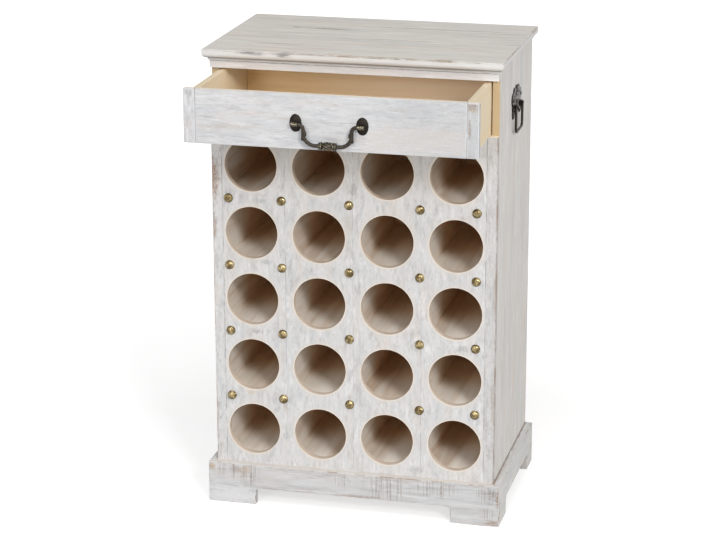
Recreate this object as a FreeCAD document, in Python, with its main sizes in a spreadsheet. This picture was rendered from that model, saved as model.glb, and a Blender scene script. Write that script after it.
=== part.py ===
import FreeCAD, Part
import os
import re
import Sketcher

# A free-standing wine cabinet: a plinth with bracket feet, a grid of bottle cells behind a holed front,
# and one drawer under a nosed top. Lengths are in millimetres. X runs across the front, Y from front to
# back, Z up. The origin is on the floor, under the middle of the whole object with the drawer pulled out.

ROWS = 5
COLUMNS = 4
SIDES = ("left", "right")

# Name, value and meaning of every size that can be set by itself
SIZES = (
    ("body_width", 486, "across the outer faces of the side panels"),
    ("body_depth", 306, "from the face frame's front to the cabinet's back"),
    ("overall_height", 799.5, "from the floor to the upper face of the top board"),
    ("face_thickness", 12, "stiles, bottle front, frieze rail and drawer front"),
    ("side_thickness", 12, "side panels"),
    ("stile_width", 18, "stiles beside the bottle front"),
    ("top_thickness", 15, "top board"),
    ("top_side_overhang", 10, "top board past each side panel"),
    ("top_front_overhang", 13, "top board past the face frame"),
    ("top_nose_radius", 8, "round under the top board's nose"),
    ("top_arris_radius", 1.5, "round on the top board's upper edge"),
    ("trim_height", 4.5, "trim strip under the top board"),
    ("trim_projection", 2.5, "trim strip past the face frame and the side panels"),
    ("frieze_height", 13, "frieze rail over the drawer"),
    ("plinth_height", 73, "front and side boards of the plinth"),
    ("plinth_thickness", 13, "boards of the plinth"),
    ("plinth_lap", 12, "carcass hidden behind the plinth boards"),
    ("plinth_arch_height", 30, "cut-outs between the bracket feet"),
    ("plinth_arch_radius", 8, "round in the corners of the cut-outs"),
    ("plinth_front_foot", 84, "width of the feet across the front"),
    ("plinth_side_front_foot", 66, "depth of the front feet along the side"),
    ("plinth_side_rear_foot", 48, "depth of the rear feet along the side"),
    ("plinth_back_foot", 68, "width of the feet across the back"),
    ("corner_block_width", 30, "square blocks in the corners of the plinth"),
    ("cell_side_margin", 9, "outermost bottle cells to the outer face of the side panel"),
    ("cell_base_rise", 4, "lowest bottle cells above the plinth's upper edge"),
    ("hole_share", 0.77350427, "diameter of the bottle holes as a share of the smaller cell pitch"),
    ("grid_thickness", 9, "shelves and dividers between the bottle cells"),
    ("slot_clearance", 0.1, "each side of a board in its halving slot"),
    ("deck_thickness", 12, "board that the drawer slides on"),
    ("bottom_thickness", 12, "bottom board"),
    ("back_thickness", 6, "back panel"),
    ("back_pin_diameter", 2, "shank of the back panel's pins"),
    ("back_pin_length", 15, "shank of the back panel's pins"),
    ("back_pin_head_diameter", 5, "head of the back panel's pins"),
    ("back_pin_head_height", 1, "head of the back panel's pins"),
    ("back_pin_share", 0.45454545, "spacing of the back panel's pins as a share of its half width"),
    ("nail_head_diameter", 16, "domed brass nails"),
    ("nail_head_height", 5, "domed brass nails"),
    ("nail_shank_diameter", 2, "domed brass nails"),
    ("nail_length", 24, "shank of the domed nails"),
    ("nail_from_left_stile", 10, "first nail of a row to the left stile"),
    ("nail_from_left_seam", 6, "second nail of a row to the left plank seam"),
    ("nail_from_middle_seam", 6.5, "third nail of a row to the middle plank seam"),
    ("nail_from_right_seam", 2.5, "fourth nail of a row to the right plank seam"),
    ("nail_from_right_stile", 15, "last nail of a row to the right stile"),
    ("shank_clearance", 0.1, "round every nail, pin and screw shank"),
    ("kicker_width", 20, "rails over the drawer's sides"),
    ("kicker_screw_inset", 55, "screws to the ends of the kickers"),
    ("kicker_screw_bite", 8, "kicker screws into the top board"),
    ("kicker_screw_sink", 4, "depth of the holes for the kicker screws' heads"),
    ("wood_screw_diameter", 3.5, "shank of the kicker screws"),
    ("wood_screw_head_diameter", 7, "head of the kicker screws"),
    ("wood_screw_head_height", 3, "head of the kicker screws"),
    ("drawer_pull", 150, "how far out the drawer stands at rest"),
    ("drawer_opening_height", 93, "opening for the drawer between deck and frieze rail"),
    ("drawer_front_side_gap", 2, "drawer front to the outer face of the side panel"),
    ("drawer_front_bottom_gap", 1, "drawer front to the deck"),
    ("drawer_front_top_gap", 3, "drawer front to the frieze rail"),
    ("drawer_strip_width", 19.5, "end strips of the drawer front"),
    ("drawer_side_thickness", 10, "sides of the drawer"),
    ("drawer_back_thickness", 10, "back of the drawer"),
    ("drawer_bottom_thickness", 4, "bottom of the drawer"),
    ("drawer_bottom_rise", 6, "groove for the bottom above the sides' lower edge"),
    ("drawer_groove_depth", 5, "groove for the bottom"),
    ("drawer_groove_clearance", 0.1, "round the bottom in its groove"),
    ("drawer_side_gap", 2.5, "drawer side to side panel"),
    ("drawer_rear_gap", 8, "drawer to back panel when it is shut"),
    ("drawer_running_gap", 0.4, "drawer side to deck"),
    ("drawer_side_drop", 1, "drawer side below the front's upper edge"),
    ("drawer_back_drop", 8, "drawer back below the sides' upper edge"),
    ("handle_spacing", 109, "between the posts of the drawer's handle"),
    ("handle_below_middle", 2, "posts below the middle of the drawer front"),
    ("rosette_width", 20, "oval rosettes behind the posts"),
    ("rosette_height", 29, "oval rosettes behind the posts"),
    ("rosette_dome", 4.5, "how far the rosettes swell"),
    ("post_diameter", 7, "stems of the handle posts"),
    ("knuckle_diameter", 7, "knuckles at the ends of the posts"),
    ("knuckle_length", 11, "knuckles at the ends of the posts"),
    ("knuckle_bore_depth", 8.5, "holes for the bail's pins"),
    ("bail_standoff", 10, "bail's axis in front of the drawer front"),
    ("bail_pin_diameter", 4, "pins of the drawer's bail"),
    ("bail_pin_length", 7.5, "pins of the drawer's bail"),
    ("bail_wire_diameter", 6.2, "bar of the drawer's bail"),
    ("bail_leg_spacing", 79, "between the legs of the drawer's bail"),
    ("bail_neck_radius", 8.4, "bend at the top of the bail's legs"),
    ("bail_corner_radius", 19, "bend at the foot of the bail's legs"),
    ("bail_drop", 33, "bail's bar below its axis"),
    ("bail_end_gap", 0.4, "shoulder of a bail to its bearing"),
    ("pin_clearance", 0.06, "round a bail's pin in its bearing"),
    ("barrel_diameter", 12, "ornament in the middle of the bail"),
    ("barrel_length", 20, "ornament in the middle of the bail"),
    ("collar_diameter", 10.4, "rings beside the barrel"),
    ("collar_length", 3, "rings beside the barrel"),
    ("collar_spacing", 24, "between the rings beside the barrel"),
    ("post_screw_diameter", 4, "screws that hold the posts"),
    ("post_screw_bite", 5, "screws into the posts"),
    ("post_screw_head_diameter", 8, "screws that hold the posts"),
    ("post_screw_head_height", 2.5, "screws that hold the posts"),
    ("side_handle_below_top", 104.5, "axis of the side handles below the upper face of the top board"),
    ("plate_width", 82, "backplate of a side handle, along the depth"),
    ("plate_height", 52, "backplate of a side handle"),
    ("plate_thickness", 2.5, "backplate of a side handle"),
    ("plate_above_axis", 8, "middle of the backplate above the bail's axis"),
    ("side_bail_standoff", 6.5, "bail's axis out from the side panel"),
    ("side_bail_wire_diameter", 4.6, "bar of a side handle's bail"),
    ("side_bail_leg_spacing", 57, "between the legs of a side handle's bail"),
    ("side_bail_neck_radius", 3.2, "bend at the top of the legs"),
    ("side_bail_shoulder", 0.8, "straight end of the bar beside an ear"),
    ("side_bail_corner_radius", 10, "bend at the foot of the legs"),
    ("side_bail_drop", 42, "bail's bar below its axis"),
    ("side_pin_diameter", 3, "pins of a side handle's bail"),
    ("side_pin_length", 5, "pins of a side handle's bail"),
    ("ear_diameter", 8, "ears on the backplate that hold the pins"),
    ("ear_length", 7, "ears on the backplate that hold the pins"),
    ("ear_bore_depth", 6, "holes for the pins"),
    ("plate_screw_diameter", 3, "screws of the backplate"),
    ("plate_screw_length", 12, "shank of the backplate's screws"),
    ("plate_screw_head_diameter", 6.5, "screws of the backplate"),
    ("plate_screw_head_height", 2, "screws of the backplate"),
)

# Places and radii of the backplate's lobes, as shares of its width, its height and its height
PLATE_LOBE_SHARES = (
    (0, 0.02, 0.36),
    (0.335, 0.1, 0.227),
    (0.2, 0.26, 0.2),
    (0, 0.38, 0.12),
    (0, 0.26, 0.16),
    (0.13, -0.24, 0.15),
    (0, -0.38, 0.12),
    (0.35, -0.15, 0.12),
    (0.36, -0.33, 0.095),
    (0.35, -0.46, 0.06),
)
# Band of the backplate that carries the ears: below the bail's axis as a share of an ear's diameter,
# and above the plate's middle as a share of its height
PLATE_BAND_DROP_SHARE = 0.6
PLATE_BAND_RISE_SHARE = 0.1
PLATE_SCREW_SHARE = 0.39
PLATE_SCREW_RISE_SHARE = 0.1

doc = FreeCAD.newDocument("wine_cabinet")
sheet = doc.addObject("Spreadsheet::Sheet", "Sizes")
for row, (size_name, size_value, size_note) in enumerate(SIZES, start=1):
    sheet.set(f"A{row}", size_name)
    sheet.set(f"B{row}", str(size_value))
    sheet.setAlias(f"B{row}", size_name)
    sheet.set(f"C{row}", size_note)
doc.recompute()

TOWARD_FRONT = FreeCAD.Rotation(FreeCAD.Vector(1, 0, 0), 90)
TOWARD_BACK = FreeCAD.Rotation(FreeCAD.Vector(1, 0, 0), -90)
TOWARD_RIGHT = FreeCAD.Rotation(FreeCAD.Vector(0, 1, 0), 90)
TOWARD_LEFT = FreeCAD.Rotation(FreeCAD.Vector(0, 1, 0), -90)
UPWARD = FreeCAD.Rotation()

# Planes that many pieces share, as formulas of the sizes
HALF = "(body_width / 2)"
INNER = "(body_width / 2 - side_thickness)"
PANEL_HALF = "(body_width / 2 - stile_width)"
FACE = "((drawer_pull + bail_standoff + barrel_diameter / 2 - body_depth) / 2)"
CELL_FRONT = f"({FACE} + face_thickness)"
BACK = f"({FACE} + body_depth)"
CELL_DEPTH = "(body_depth - face_thickness - back_thickness)"
CARCASS_BOTTOM = "(plinth_height - plinth_lap)"
UNDER_TOP = "(overall_height - top_thickness)"
UNDER_TRIM = "(overall_height - top_thickness - trim_height)"
OPENING_TOP = "(overall_height - top_thickness - trim_height - frieze_height)"
OPENING_FLOOR = f"({OPENING_TOP} - drawer_opening_height)"
CELL_CEILING = f"({OPENING_FLOOR} - deck_thickness)"
CELL_BASE = "(plinth_height + cell_base_rise)"
CELL_FLOOR = f"({CELL_BASE} + grid_thickness / 2)"
PITCH_ACROSS = f"((body_width - 2 * cell_side_margin) / {COLUMNS})"
PITCH_UP = f"(({CELL_CEILING} - {CELL_BASE}) / {ROWS})"
BOTTOM_HOLE = f"({CELL_BASE} + {PITCH_UP} / 2)"
FIRST_SHELF = f"({CELL_BASE} + {PITCH_UP})"
HOLE_RADIUS = f"(min({PITCH_UP}; {PITCH_ACROSS}) * hole_share / 2)"
NAIL_RADIUS = "(nail_shank_diameter / 2 + shank_clearance)"
PIN_RADIUS = "(back_pin_diameter / 2 + shank_clearance)"
DRAWER_FACE = f"({FACE} - drawer_pull)"
DRAWER_INSIDE = f"({DRAWER_FACE} + face_thickness)"
FRONT_HALF = "(body_width / 2 - drawer_front_side_gap)"
FRONT_PANEL_HALF = "(body_width / 2 - drawer_front_side_gap - drawer_strip_width)"
FRONT_BOTTOM = f"({OPENING_FLOOR} + drawer_front_bottom_gap)"
FRONT_TOP = f"({OPENING_TOP} - drawer_front_top_gap)"
BOX_HALF = "(body_width / 2 - side_thickness - drawer_side_gap)"
BOX_INNER = "(body_width / 2 - side_thickness - drawer_side_gap - drawer_side_thickness)"
BOX_LENGTH = "(body_depth - back_thickness - drawer_rear_gap - face_thickness)"
BOX_BOTTOM = f"({OPENING_FLOOR} + drawer_running_gap)"
BOX_TOP = f"({FRONT_TOP} - drawer_side_drop)"
GROOVE_BOTTOM = f"({BOX_BOTTOM} + drawer_bottom_rise)"
GROOVE_HEIGHT = "(drawer_bottom_thickness + 2 * drawer_groove_clearance)"
HANDLE_HEIGHT = f"(({FRONT_BOTTOM} + {FRONT_TOP}) / 2 - handle_below_middle)"
BAIL_AXIS = f"({DRAWER_FACE} - bail_standoff)"
AXIS_HEIGHT = "(overall_height - side_handle_below_top)"
HANDLE_MIDDLE = f"({FACE} + body_depth / 2)"
EAR_OUTER = "(side_bail_leg_spacing / 2 - side_bail_neck_radius - side_bail_shoulder - bail_end_gap)"

parts = []


def bound(formula):
    """Point every size name in a formula at its cell of the sheet."""
    return re.sub(r"[a-z][a-z_]*(?!\()\b", lambda found: "Sizes." + found.group(0), formula)


def bind(thing, properties, formulas):
    for name, formula in zip(properties, formulas):
        thing.setExpression(name, bound(formula))


def place(thing, corner):
    bind(thing, ("Placement.Base.x", "Placement.Base.y", "Placement.Base.z"), corner)


def keep(thing, label):
    """Name a finished piece, which is then written to its own file."""
    thing.Label = label
    parts.append(thing)
    return thing


def low_x(side, inner, outer):
    """Lower X of what lies between two distances from the middle plane."""
    return f"-({outer})" if side == "left" else f"({inner})"


def at_side(side, distance):
    return f"-({distance})" if side == "left" else f"({distance})"


def box(name, corner, extent):
    thing = doc.addObject("Part::Box", name)
    bind(thing, ("Length", "Width", "Height"), extent)
    place(thing, corner)
    return thing


def cylinder(name, start, direction, radius, length):
    thing = doc.addObject("Part::Cylinder", name)
    thing.Placement.Rotation = direction
    bind(thing, ("Radius", "Height"), (radius, length))
    place(thing, start)
    return thing


def dome(name, middle, direction, height, half_width, half_depth):
    """Half of an ellipsoid that stands on a flat face."""
    thing = doc.addObject("Part::Ellipsoid", name)
    thing.Placement.Rotation = direction
    thing.Angle1 = 0
    thing.Angle2 = 90
    bind(thing, ("Radius1", "Radius2", "Radius3"), (height, half_width, half_depth))
    place(thing, middle)
    return thing


def fuse(name, shapes):
    thing = doc.addObject("Part::MultiFuse", name)
    thing.Shapes = shapes
    return thing


def cut(name, base, tools):
    thing = doc.addObject("Part::Cut", name)
    thing.Base = base
    thing.Tool = tools[0] if len(tools) == 1 else fuse(name + "_cuts", tools)
    return thing


def group(name, things):
    thing = doc.addObject("Part::Compound", name)
    thing.Links = things
    return thing


def body_at(name, corner):
    body = doc.addObject("PartDesign::Body", name)
    place(body, corner)
    return body


def origin_of(body, role):
    return next(feature for feature in body.Origin.OriginFeatures if feature.Role == role)


def sketch_on(body, role, name):
    sketch = body.newObject("Sketcher::SketchObject", name)
    sketch.AttachmentSupport = [(origin_of(body, role), "")]
    sketch.MapMode = "FlatFace"
    return sketch


def set_distance(sketch, kind, target, formula):
    """Hold a point at a distance from the sketch's origin, or on its axis."""
    if formula == "0":
        axis = -2 if kind == "DistanceX" else -1
        sketch.addConstraint(Sketcher.Constraint("PointOnObject", *target, axis))
        return
    spot = sketch.getPoint(*target)
    now = spot.x if kind == "DistanceX" else spot.y
    index = sketch.addConstraint(Sketcher.Constraint(kind, -1, 1, *target, now))
    sketch.setExpression(f"Constraints[{index}]", bound(formula))


def add_outline(sketch, points):
    """A closed outline of straight lines whose corners follow formulas."""
    first = sketch.GeometryCount
    count = len(points)
    rough = [FreeCAD.Vector(1 + (index in (1, 2)), 1 + index // 2, 0) for index in range(count)]
    for index in range(count):
        sketch.addGeometry(Part.LineSegment(rough[index], rough[(index + 1) % count]))
    for index, (across, up) in enumerate(points):
        line = first + index
        sketch.addConstraint(Sketcher.Constraint("Coincident", line, 2, first + (index + 1) % count, 1))
        set_distance(sketch, "DistanceX", (line, 1), across)
        set_distance(sketch, "DistanceY", (line, 1), up)


def add_rectangle(sketch, left, bottom, right, top):
    add_outline(sketch, ((left, bottom), (right, bottom), (right, top), (left, top)))


def add_circle(sketch, across, up, radius):
    circle = sketch.addGeometry(Part.Circle(FreeCAD.Vector(1, 1, 0), FreeCAD.Vector(0, 0, 1), 1))
    set_distance(sketch, "DistanceX", (circle, 3), across)
    set_distance(sketch, "DistanceY", (circle, 3), up)
    index = sketch.addConstraint(Sketcher.Constraint("Radius", circle, 1.0))
    sketch.setExpression(f"Constraints[{index}]", bound(radius))


def pad(body, sketch, length, reverse=False):
    feature = body.newObject("PartDesign::Pad", "Pad")
    feature.Profile = sketch
    feature.Reversed = reverse
    bind(feature, ("Length",), (length,))
    return feature


def pocket(body, sketch, length=None, reverse=False):
    """Cut a sketch into the body, right through where no length is given."""
    feature = body.newObject("PartDesign::Pocket", "Pocket")
    feature.Profile = sketch
    feature.Reversed = reverse
    if length is None:
        feature.Type = 1
    else:
        bind(feature, ("Length",), (length,))
    return feature


def repeat(body, feature, role, count, pitch):
    """Repeat a cut at an even pitch along one of the body's axes."""
    pattern = body.newObject("PartDesign::LinearPattern", "Pattern")
    pattern.Originals = [feature]
    pattern.Direction = (origin_of(body, role), [""])
    pattern.Occurrences = count
    bind(pattern, ("Length",), (f"{count - 1} * {pitch}",))
    body.Tip = pattern


def drill(body, role, places, radius, length=None, reverse=False):
    sketch = sketch_on(body, role, "Holes")
    for across, up in places:
        add_circle(sketch, across, up, radius)
    return pocket(body, sketch, length, reverse)


def round_edges(body, chosen, radius):
    """Round the edges of the body whose middles pass a test."""
    doc.recompute()
    base = body.Tip
    names = [f"Edge{index}" for index, edge in enumerate(base.Shape.Edges, start=1) if chosen(edge)]
    feature = body.newObject("PartDesign::Fillet", "Round")
    feature.Base = (base, names)
    bind(feature, ("Radius",), (radius,))


def board(name, corner, extent):
    """A rectangular board as a body, for boards that are drilled or slotted."""
    body = body_at(name, corner)
    sketch = sketch_on(body, "XY_Plane", "Outline")
    add_rectangle(sketch, "0", "0", extent[0], extent[1])
    pad(body, sketch, extent[2])
    return body


def size(name):
    return float(sheet.get(name))


def nail_places():
    """Distance of each nail of a row from the middle plane, plank by plank."""
    return (
        (f"-{PANEL_HALF} + nail_from_left_stile", f"-{PITCH_ACROSS} - nail_from_left_seam"),
        ("-nail_from_middle_seam",),
        (f"{PITCH_ACROSS} - nail_from_right_seam",),
        (f"{PANEL_HALF} - nail_from_right_stile",),
    )


def kicker_screw_places(side):
    """Places of the screws through a kicker, across and along, from the middle and the cells' front."""
    across = at_side(side, f"{INNER} - kicker_width / 2")
    return ((across, "kicker_screw_inset"), (across, f"{CELL_DEPTH} - kicker_screw_inset"))


def make_top_board():
    left = f"({HALF} + top_side_overhang)"
    front = f"({FACE} - top_front_overhang)"
    body = board("top_board", (f"-{left}", front, UNDER_TOP),
                 (f"2 * {left}", "body_depth + top_front_overhang", "top_thickness"))
    screws = [(f"{across} + {left}", f"{CELL_FRONT} + {along} - {front}")
              for side in SIDES for across, along in kicker_screw_places(side)]
    drill(body, "XY_Plane", screws, "wood_screw_diameter / 2 + shank_clearance",
          "kicker_screw_bite + shank_clearance", reverse=True)
    depth = size("body_depth") + size("top_front_overhang")
    thickness = size("top_thickness")

    def nosed(edge):
        flat = edge.BoundBox.ZLength < thickness / 2 and edge.Curve.TypeId == "Part::GeomLine"
        return flat and edge.CenterOfMass.y < depth - thickness

    round_edges(body, lambda edge: nosed(edge) and edge.CenterOfMass.z < thickness / 2, "top_nose_radius")
    round_edges(body, lambda edge: nosed(edge) and edge.CenterOfMass.z > thickness - size("top_arris_radius"),
                "top_arris_radius")
    keep(body, "top_board")


def make_trim_and_frieze():
    keep(box("top_trim_front", (f"-({HALF} + trim_projection)", f"{FACE} - trim_projection", UNDER_TRIM),
             ("body_width + 2 * trim_projection", "face_thickness + trim_projection", "trim_height")),
         "top_trim_front")
    for side in SIDES:
        label = f"top_trim_{side}"
        keep(box(label, (low_x(side, INNER, f"{HALF} + trim_projection"), CELL_FRONT, UNDER_TRIM),
                 ("side_thickness + trim_projection", "body_depth - face_thickness", "trim_height")), label)
    keep(box("frieze_rail", (f"-{HALF}", FACE, OPENING_TOP),
             ("body_width", "face_thickness", "frieze_height")), "frieze_rail")


def plate_screw_places(side):
    """Places of the screws through a side handle's backplate, along and up."""
    rise = f"{AXIS_HEIGHT} + plate_above_axis + plate_height * {PLATE_SCREW_RISE_SHARE}"
    return [(f"{HANDLE_MIDDLE} + plate_width * {share}", rise) for share in (-PLATE_SCREW_SHARE, PLATE_SCREW_SHARE)]


def inward(side):
    return TOWARD_RIGHT if side == "left" else TOWARD_LEFT


def outward(side):
    return TOWARD_LEFT if side == "left" else TOWARD_RIGHT


def make_side_panels_and_stiles():
    for side in SIDES:
        label = f"{side}_side_panel"
        blank = box(label + "_blank", (low_x(side, INNER, HALF), CELL_FRONT, CARCASS_BOTTOM),
                    ("side_thickness", "body_depth - face_thickness", f"{UNDER_TRIM} - {CARCASS_BOTTOM}"))
        holes = [cylinder(label + "_hole", (at_side(side, HALF), along, up), inward(side),
                          "plate_screw_diameter / 2 + shank_clearance",
                          "plate_screw_length - plate_thickness + shank_clearance")
                 for along, up in plate_screw_places(side)]
        keep(cut(label, blank, holes), label)
        label = f"{side}_stile"
        keep(box(label, (low_x(side, PANEL_HALF, HALF), FACE, CARCASS_BOTTOM),
                 ("stile_width", "face_thickness", f"{OPENING_FLOOR} - {CARCASS_BOTTOM}")), label)


def make_bottle_front():
    """Upright planks, one to a column, with the bottle holes and the nail holes through them."""
    for column, nails in enumerate(nail_places()):
        seams = column - COLUMNS / 2
        left = f"-{PANEL_HALF}" if column == 0 else f"({seams} * {PITCH_ACROSS})"
        right = PANEL_HALF if column == COLUMNS - 1 else f"({seams + 1} * {PITCH_ACROSS})"
        middle = f"(({seams} + 1 / 2) * {PITCH_ACROSS})"
        label = f"bottle_front_{column + 1}"
        body = body_at(label, (left, FACE, CARCASS_BOTTOM))
        outline = sketch_on(body, "XZ_Plane", "Outline")
        add_rectangle(outline, "0", "0", f"{right} - {left}", f"{OPENING_FLOOR} - {CARCASS_BOTTOM}")
        pad(body, outline, "face_thickness", reverse=True)
        bottle = drill(body, "XZ_Plane", [(f"{middle} - {left}", f"{BOTTOM_HOLE} - {CARCASS_BOTTOM}")],
                       HOLE_RADIUS)
        repeat(body, bottle, "Z_Axis", ROWS, PITCH_UP)
        nail = drill(body, "XZ_Plane", [(f"{across} - {left}", f"{FIRST_SHELF} - {CARCASS_BOTTOM}")
                                        for across in nails], NAIL_RADIUS)
        repeat(body, nail, "Z_Axis", ROWS - 1, PITCH_UP)
        keep(body, label)


def make_bottle_grid():
    """Shelves slotted from behind and dividers slotted from the front, halved into each other."""
    slot = "(grid_thickness + 2 * slot_clearance)"
    edge = "(grid_thickness / 2 + slot_clearance)"
    for row in range(ROWS - 1):
        label = f"bottle_shelf_{row + 1}"
        middle = f"({FIRST_SHELF} + {row} * {PITCH_UP})"
        body = board(label, (f"-{INNER}", CELL_FRONT, f"{middle} - grid_thickness / 2"),
                     (f"2 * {INNER}", CELL_DEPTH, "grid_thickness"))
        sketch = sketch_on(body, "XY_Plane", "Slot")
        left = f"({INNER} + {1 - COLUMNS / 2} * {PITCH_ACROSS} - {edge})"
        add_rectangle(sketch, left, f"{CELL_DEPTH} / 2", f"{left} + {slot}", CELL_DEPTH)
        repeat(body, pocket(body, sketch, reverse=True), "X_Axis", COLUMNS - 1, PITCH_ACROSS)
        places = [(f"{INNER} + {across}", "grid_thickness / 2") for plank in nail_places() for across in plank]
        drill(body, "XZ_Plane", places, NAIL_RADIUS, "nail_length - face_thickness + shank_clearance")
        keep(body, label)
    for column in range(1, COLUMNS):
        label = f"bottle_divider_{column}"
        across = f"{column - COLUMNS / 2} * {PITCH_ACROSS} - grid_thickness / 2"
        body = body_at(label, (across, CELL_FRONT, CELL_FLOOR))
        outline = sketch_on(body, "YZ_Plane", "Outline")
        add_rectangle(outline, "0", "0", CELL_DEPTH, f"{CELL_CEILING} - {CELL_FLOOR}")
        pad(body, outline, "grid_thickness")
        sketch = sketch_on(body, "YZ_Plane", "Slot")
        bottom = f"({FIRST_SHELF} - {edge} - {CELL_FLOOR})"
        add_rectangle(sketch, "0", bottom, f"{CELL_DEPTH} / 2", f"{bottom} + {slot}")
        repeat(body, pocket(body, sketch, reverse=True), "Z_Axis", ROWS - 1, PITCH_UP)
        keep(body, label)


def back_pin_places():
    """Distance of each pin of a row from the middle plane."""
    return [f"{index - 2} * {INNER} * back_pin_share" for index in range(5)]


def pin_row_heights():
    """Heights of the two rows of pins: the bottom board and the drawer deck."""
    return (f"({CELL_FLOOR} - bottom_thickness / 2)", f"({OPENING_FLOOR} - deck_thickness / 2)")


def make_deck_bottom_and_back():
    bite = "(back_pin_length - back_thickness + shank_clearance)"
    boards = (("bottom_board", f"({CELL_FLOOR} - bottom_thickness)", "bottom_thickness"),
              ("drawer_deck", CELL_CEILING, "deck_thickness"))
    for label, bottom, thickness in boards:
        blank = box(label + "_blank", (f"-{INNER}", CELL_FRONT, bottom), (f"2 * {INNER}", CELL_DEPTH, thickness))
        holes = [cylinder(label + "_hole", (across, f"{BACK} - back_thickness", f"{bottom} + {thickness} / 2"),
                          TOWARD_FRONT, PIN_RADIUS, bite) for across in back_pin_places()]
        keep(cut(label, blank, holes), label)
    blank = box("back_panel_blank", (f"-{INNER}", f"{BACK} - back_thickness", CARCASS_BOTTOM),
                (f"2 * {INNER}", "back_thickness", f"{UNDER_TOP} - {CARCASS_BOTTOM}"))
    holes = []
    for height in pin_row_heights():
        for across in back_pin_places():
            spot = (across, BACK, height)
            holes.append(cylinder("back_panel_hole", spot, TOWARD_FRONT, PIN_RADIUS, "back_thickness"))
            holes.append(cylinder("back_panel_sink", spot, TOWARD_FRONT,
                                  "back_pin_head_diameter / 2 + shank_clearance", "back_pin_head_height"))
    keep(cut("back_panel", blank, holes), "back_panel")


def make_kickers():
    height = f"({UNDER_TOP} - {OPENING_TOP})"
    for side in SIDES:
        label = f"{side}_drawer_kicker"
        left = low_x(side, f"{INNER} - kicker_width", INNER)
        body = board(label, (left, CELL_FRONT, OPENING_TOP), ("kicker_width", CELL_DEPTH, height))
        places = [(f"{across} - {left}", along) for across, along in kicker_screw_places(side)]
        drill(body, "XY_Plane", places, "wood_screw_diameter / 2 + shank_clearance", reverse=True)
        drill(body, "XY_Plane", places, "wood_screw_head_diameter / 2 + shank_clearance",
              "kicker_screw_sink", reverse=True)
        keep(body, label)


def cut_arch(body, role, near_foot, far_foot, length, reverse):
    """Cut the arch between two feet and round its upper corners."""
    sketch = sketch_on(body, role, "Arch")
    add_rectangle(sketch, near_foot, "0", f"{length} - {far_foot}", "plinth_arch_height")
    pocket(body, sketch, reverse=reverse)
    rise = size("plinth_arch_height")
    slack = size("slot_clearance")

    def corner(edge):
        box_of = edge.BoundBox
        level = abs(box_of.ZMin - rise) < slack and box_of.ZLength < slack
        across = box_of.XLength if role == "YZ_Plane" else box_of.YLength
        return level and abs(across - size("plinth_thickness")) < slack

    round_edges(body, corner, "plinth_arch_radius")


def make_plinth():
    """Mitred front and side boards, a back rail, and the corner blocks that carry the carcass."""
    thick = "plinth_thickness"
    front = f"{FACE} - plinth_thickness"
    width = "(body_width + 2 * plinth_thickness)"
    depth = "(body_depth + plinth_thickness)"
    body = body_at("plinth_front", (f"-({HALF} + plinth_thickness)", front, "0"))
    outline = sketch_on(body, "XY_Plane", "Outline")
    add_outline(outline, (("0", "0"), (width, "0"), (f"{width} - {thick}", thick), (thick, thick)))
    pad(body, outline, "plinth_height")
    cut_arch(body, "XZ_Plane", "plinth_front_foot", "plinth_front_foot", width, reverse=False)
    keep(body, "plinth_front")
    corners = {"left": (("0", "0"), (thick, thick), (thick, depth), ("0", depth)),
               "right": ((thick, "0"), (thick, depth), ("0", depth), ("0", thick))}
    for side in SIDES:
        body = body_at(f"plinth_{side}", (low_x(side, HALF, f"{HALF} + plinth_thickness"), front, "0"))
        outline = sketch_on(body, "XY_Plane", "Outline")
        add_outline(outline, corners[side])
        pad(body, outline, "plinth_height")
        cut_arch(body, "YZ_Plane", "plinth_side_front_foot", "plinth_side_rear_foot", depth, reverse=True)
        keep(body, f"plinth_{side}")
    body = body_at("plinth_back", (f"-{HALF}", f"{BACK} - plinth_thickness", "0"))
    outline = sketch_on(body, "XZ_Plane", "Outline")
    add_rectangle(outline, "0", "0", "body_width", CARCASS_BOTTOM)
    pad(body, outline, thick, reverse=True)
    cut_arch(body, "XZ_Plane", "plinth_back_foot", "plinth_back_foot", "body_width", reverse=False)
    keep(body, "plinth_back")
    for side in SIDES:
        left = low_x(side, f"{HALF} - corner_block_width", HALF)
        rear = f"{BACK} - plinth_thickness - corner_block_width"
        for end, near in (("front", FACE), ("rear", rear)):
            label = f"plinth_block_{end}_{side}"
            keep(box(label, (left, near, "0"), ("corner_block_width", "corner_block_width", CARCASS_BOTTOM)), label)


def make_fasteners():
    nails = []
    for row in range(ROWS - 1):
        height = f"({FIRST_SHELF} + {row} * {PITCH_UP})"
        for plank in nail_places():
            for across in plank:
                middle = (across, FACE, height)
                head = dome("nail_head", middle, TOWARD_FRONT, "nail_head_height",
                            "nail_head_diameter / 2", "nail_head_diameter / 2")
                shank = cylinder("nail_shank", middle, TOWARD_BACK, "nail_shank_diameter / 2", "nail_length")
                nails.append(fuse("nail", [head, shank]))
    keep(group("brass_nails", nails), "brass_nails")
    pins = []
    for height in pin_row_heights():
        for across in back_pin_places():
            middle = (across, BACK, height)
            head = cylinder("pin_head", middle, TOWARD_FRONT, "back_pin_head_diameter / 2", "back_pin_head_height")
            shank = cylinder("pin_shank", middle, TOWARD_FRONT, "back_pin_diameter / 2", "back_pin_length")
            pins.append(fuse("pin", [head, shank]))
    keep(group("back_panel_pins", pins), "back_panel_pins")
    screws = []
    seat = f"({OPENING_TOP} + kicker_screw_sink)"
    for side in SIDES:
        for across, along in kicker_screw_places(side):
            spot = (across, f"{CELL_FRONT} + {along}")
            head = cylinder("screw_head", (*spot, f"{seat} - wood_screw_head_height"), UPWARD,
                            "wood_screw_head_diameter / 2", "wood_screw_head_height")
            shank = cylinder("screw_shank", (*spot, seat), UPWARD, "wood_screw_diameter / 2",
                             f"{UNDER_TOP} + kicker_screw_bite - {seat}")
            screws.append(fuse("screw", [head, shank]))
    keep(group("kicker_screws", screws), "kicker_screws")


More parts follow.
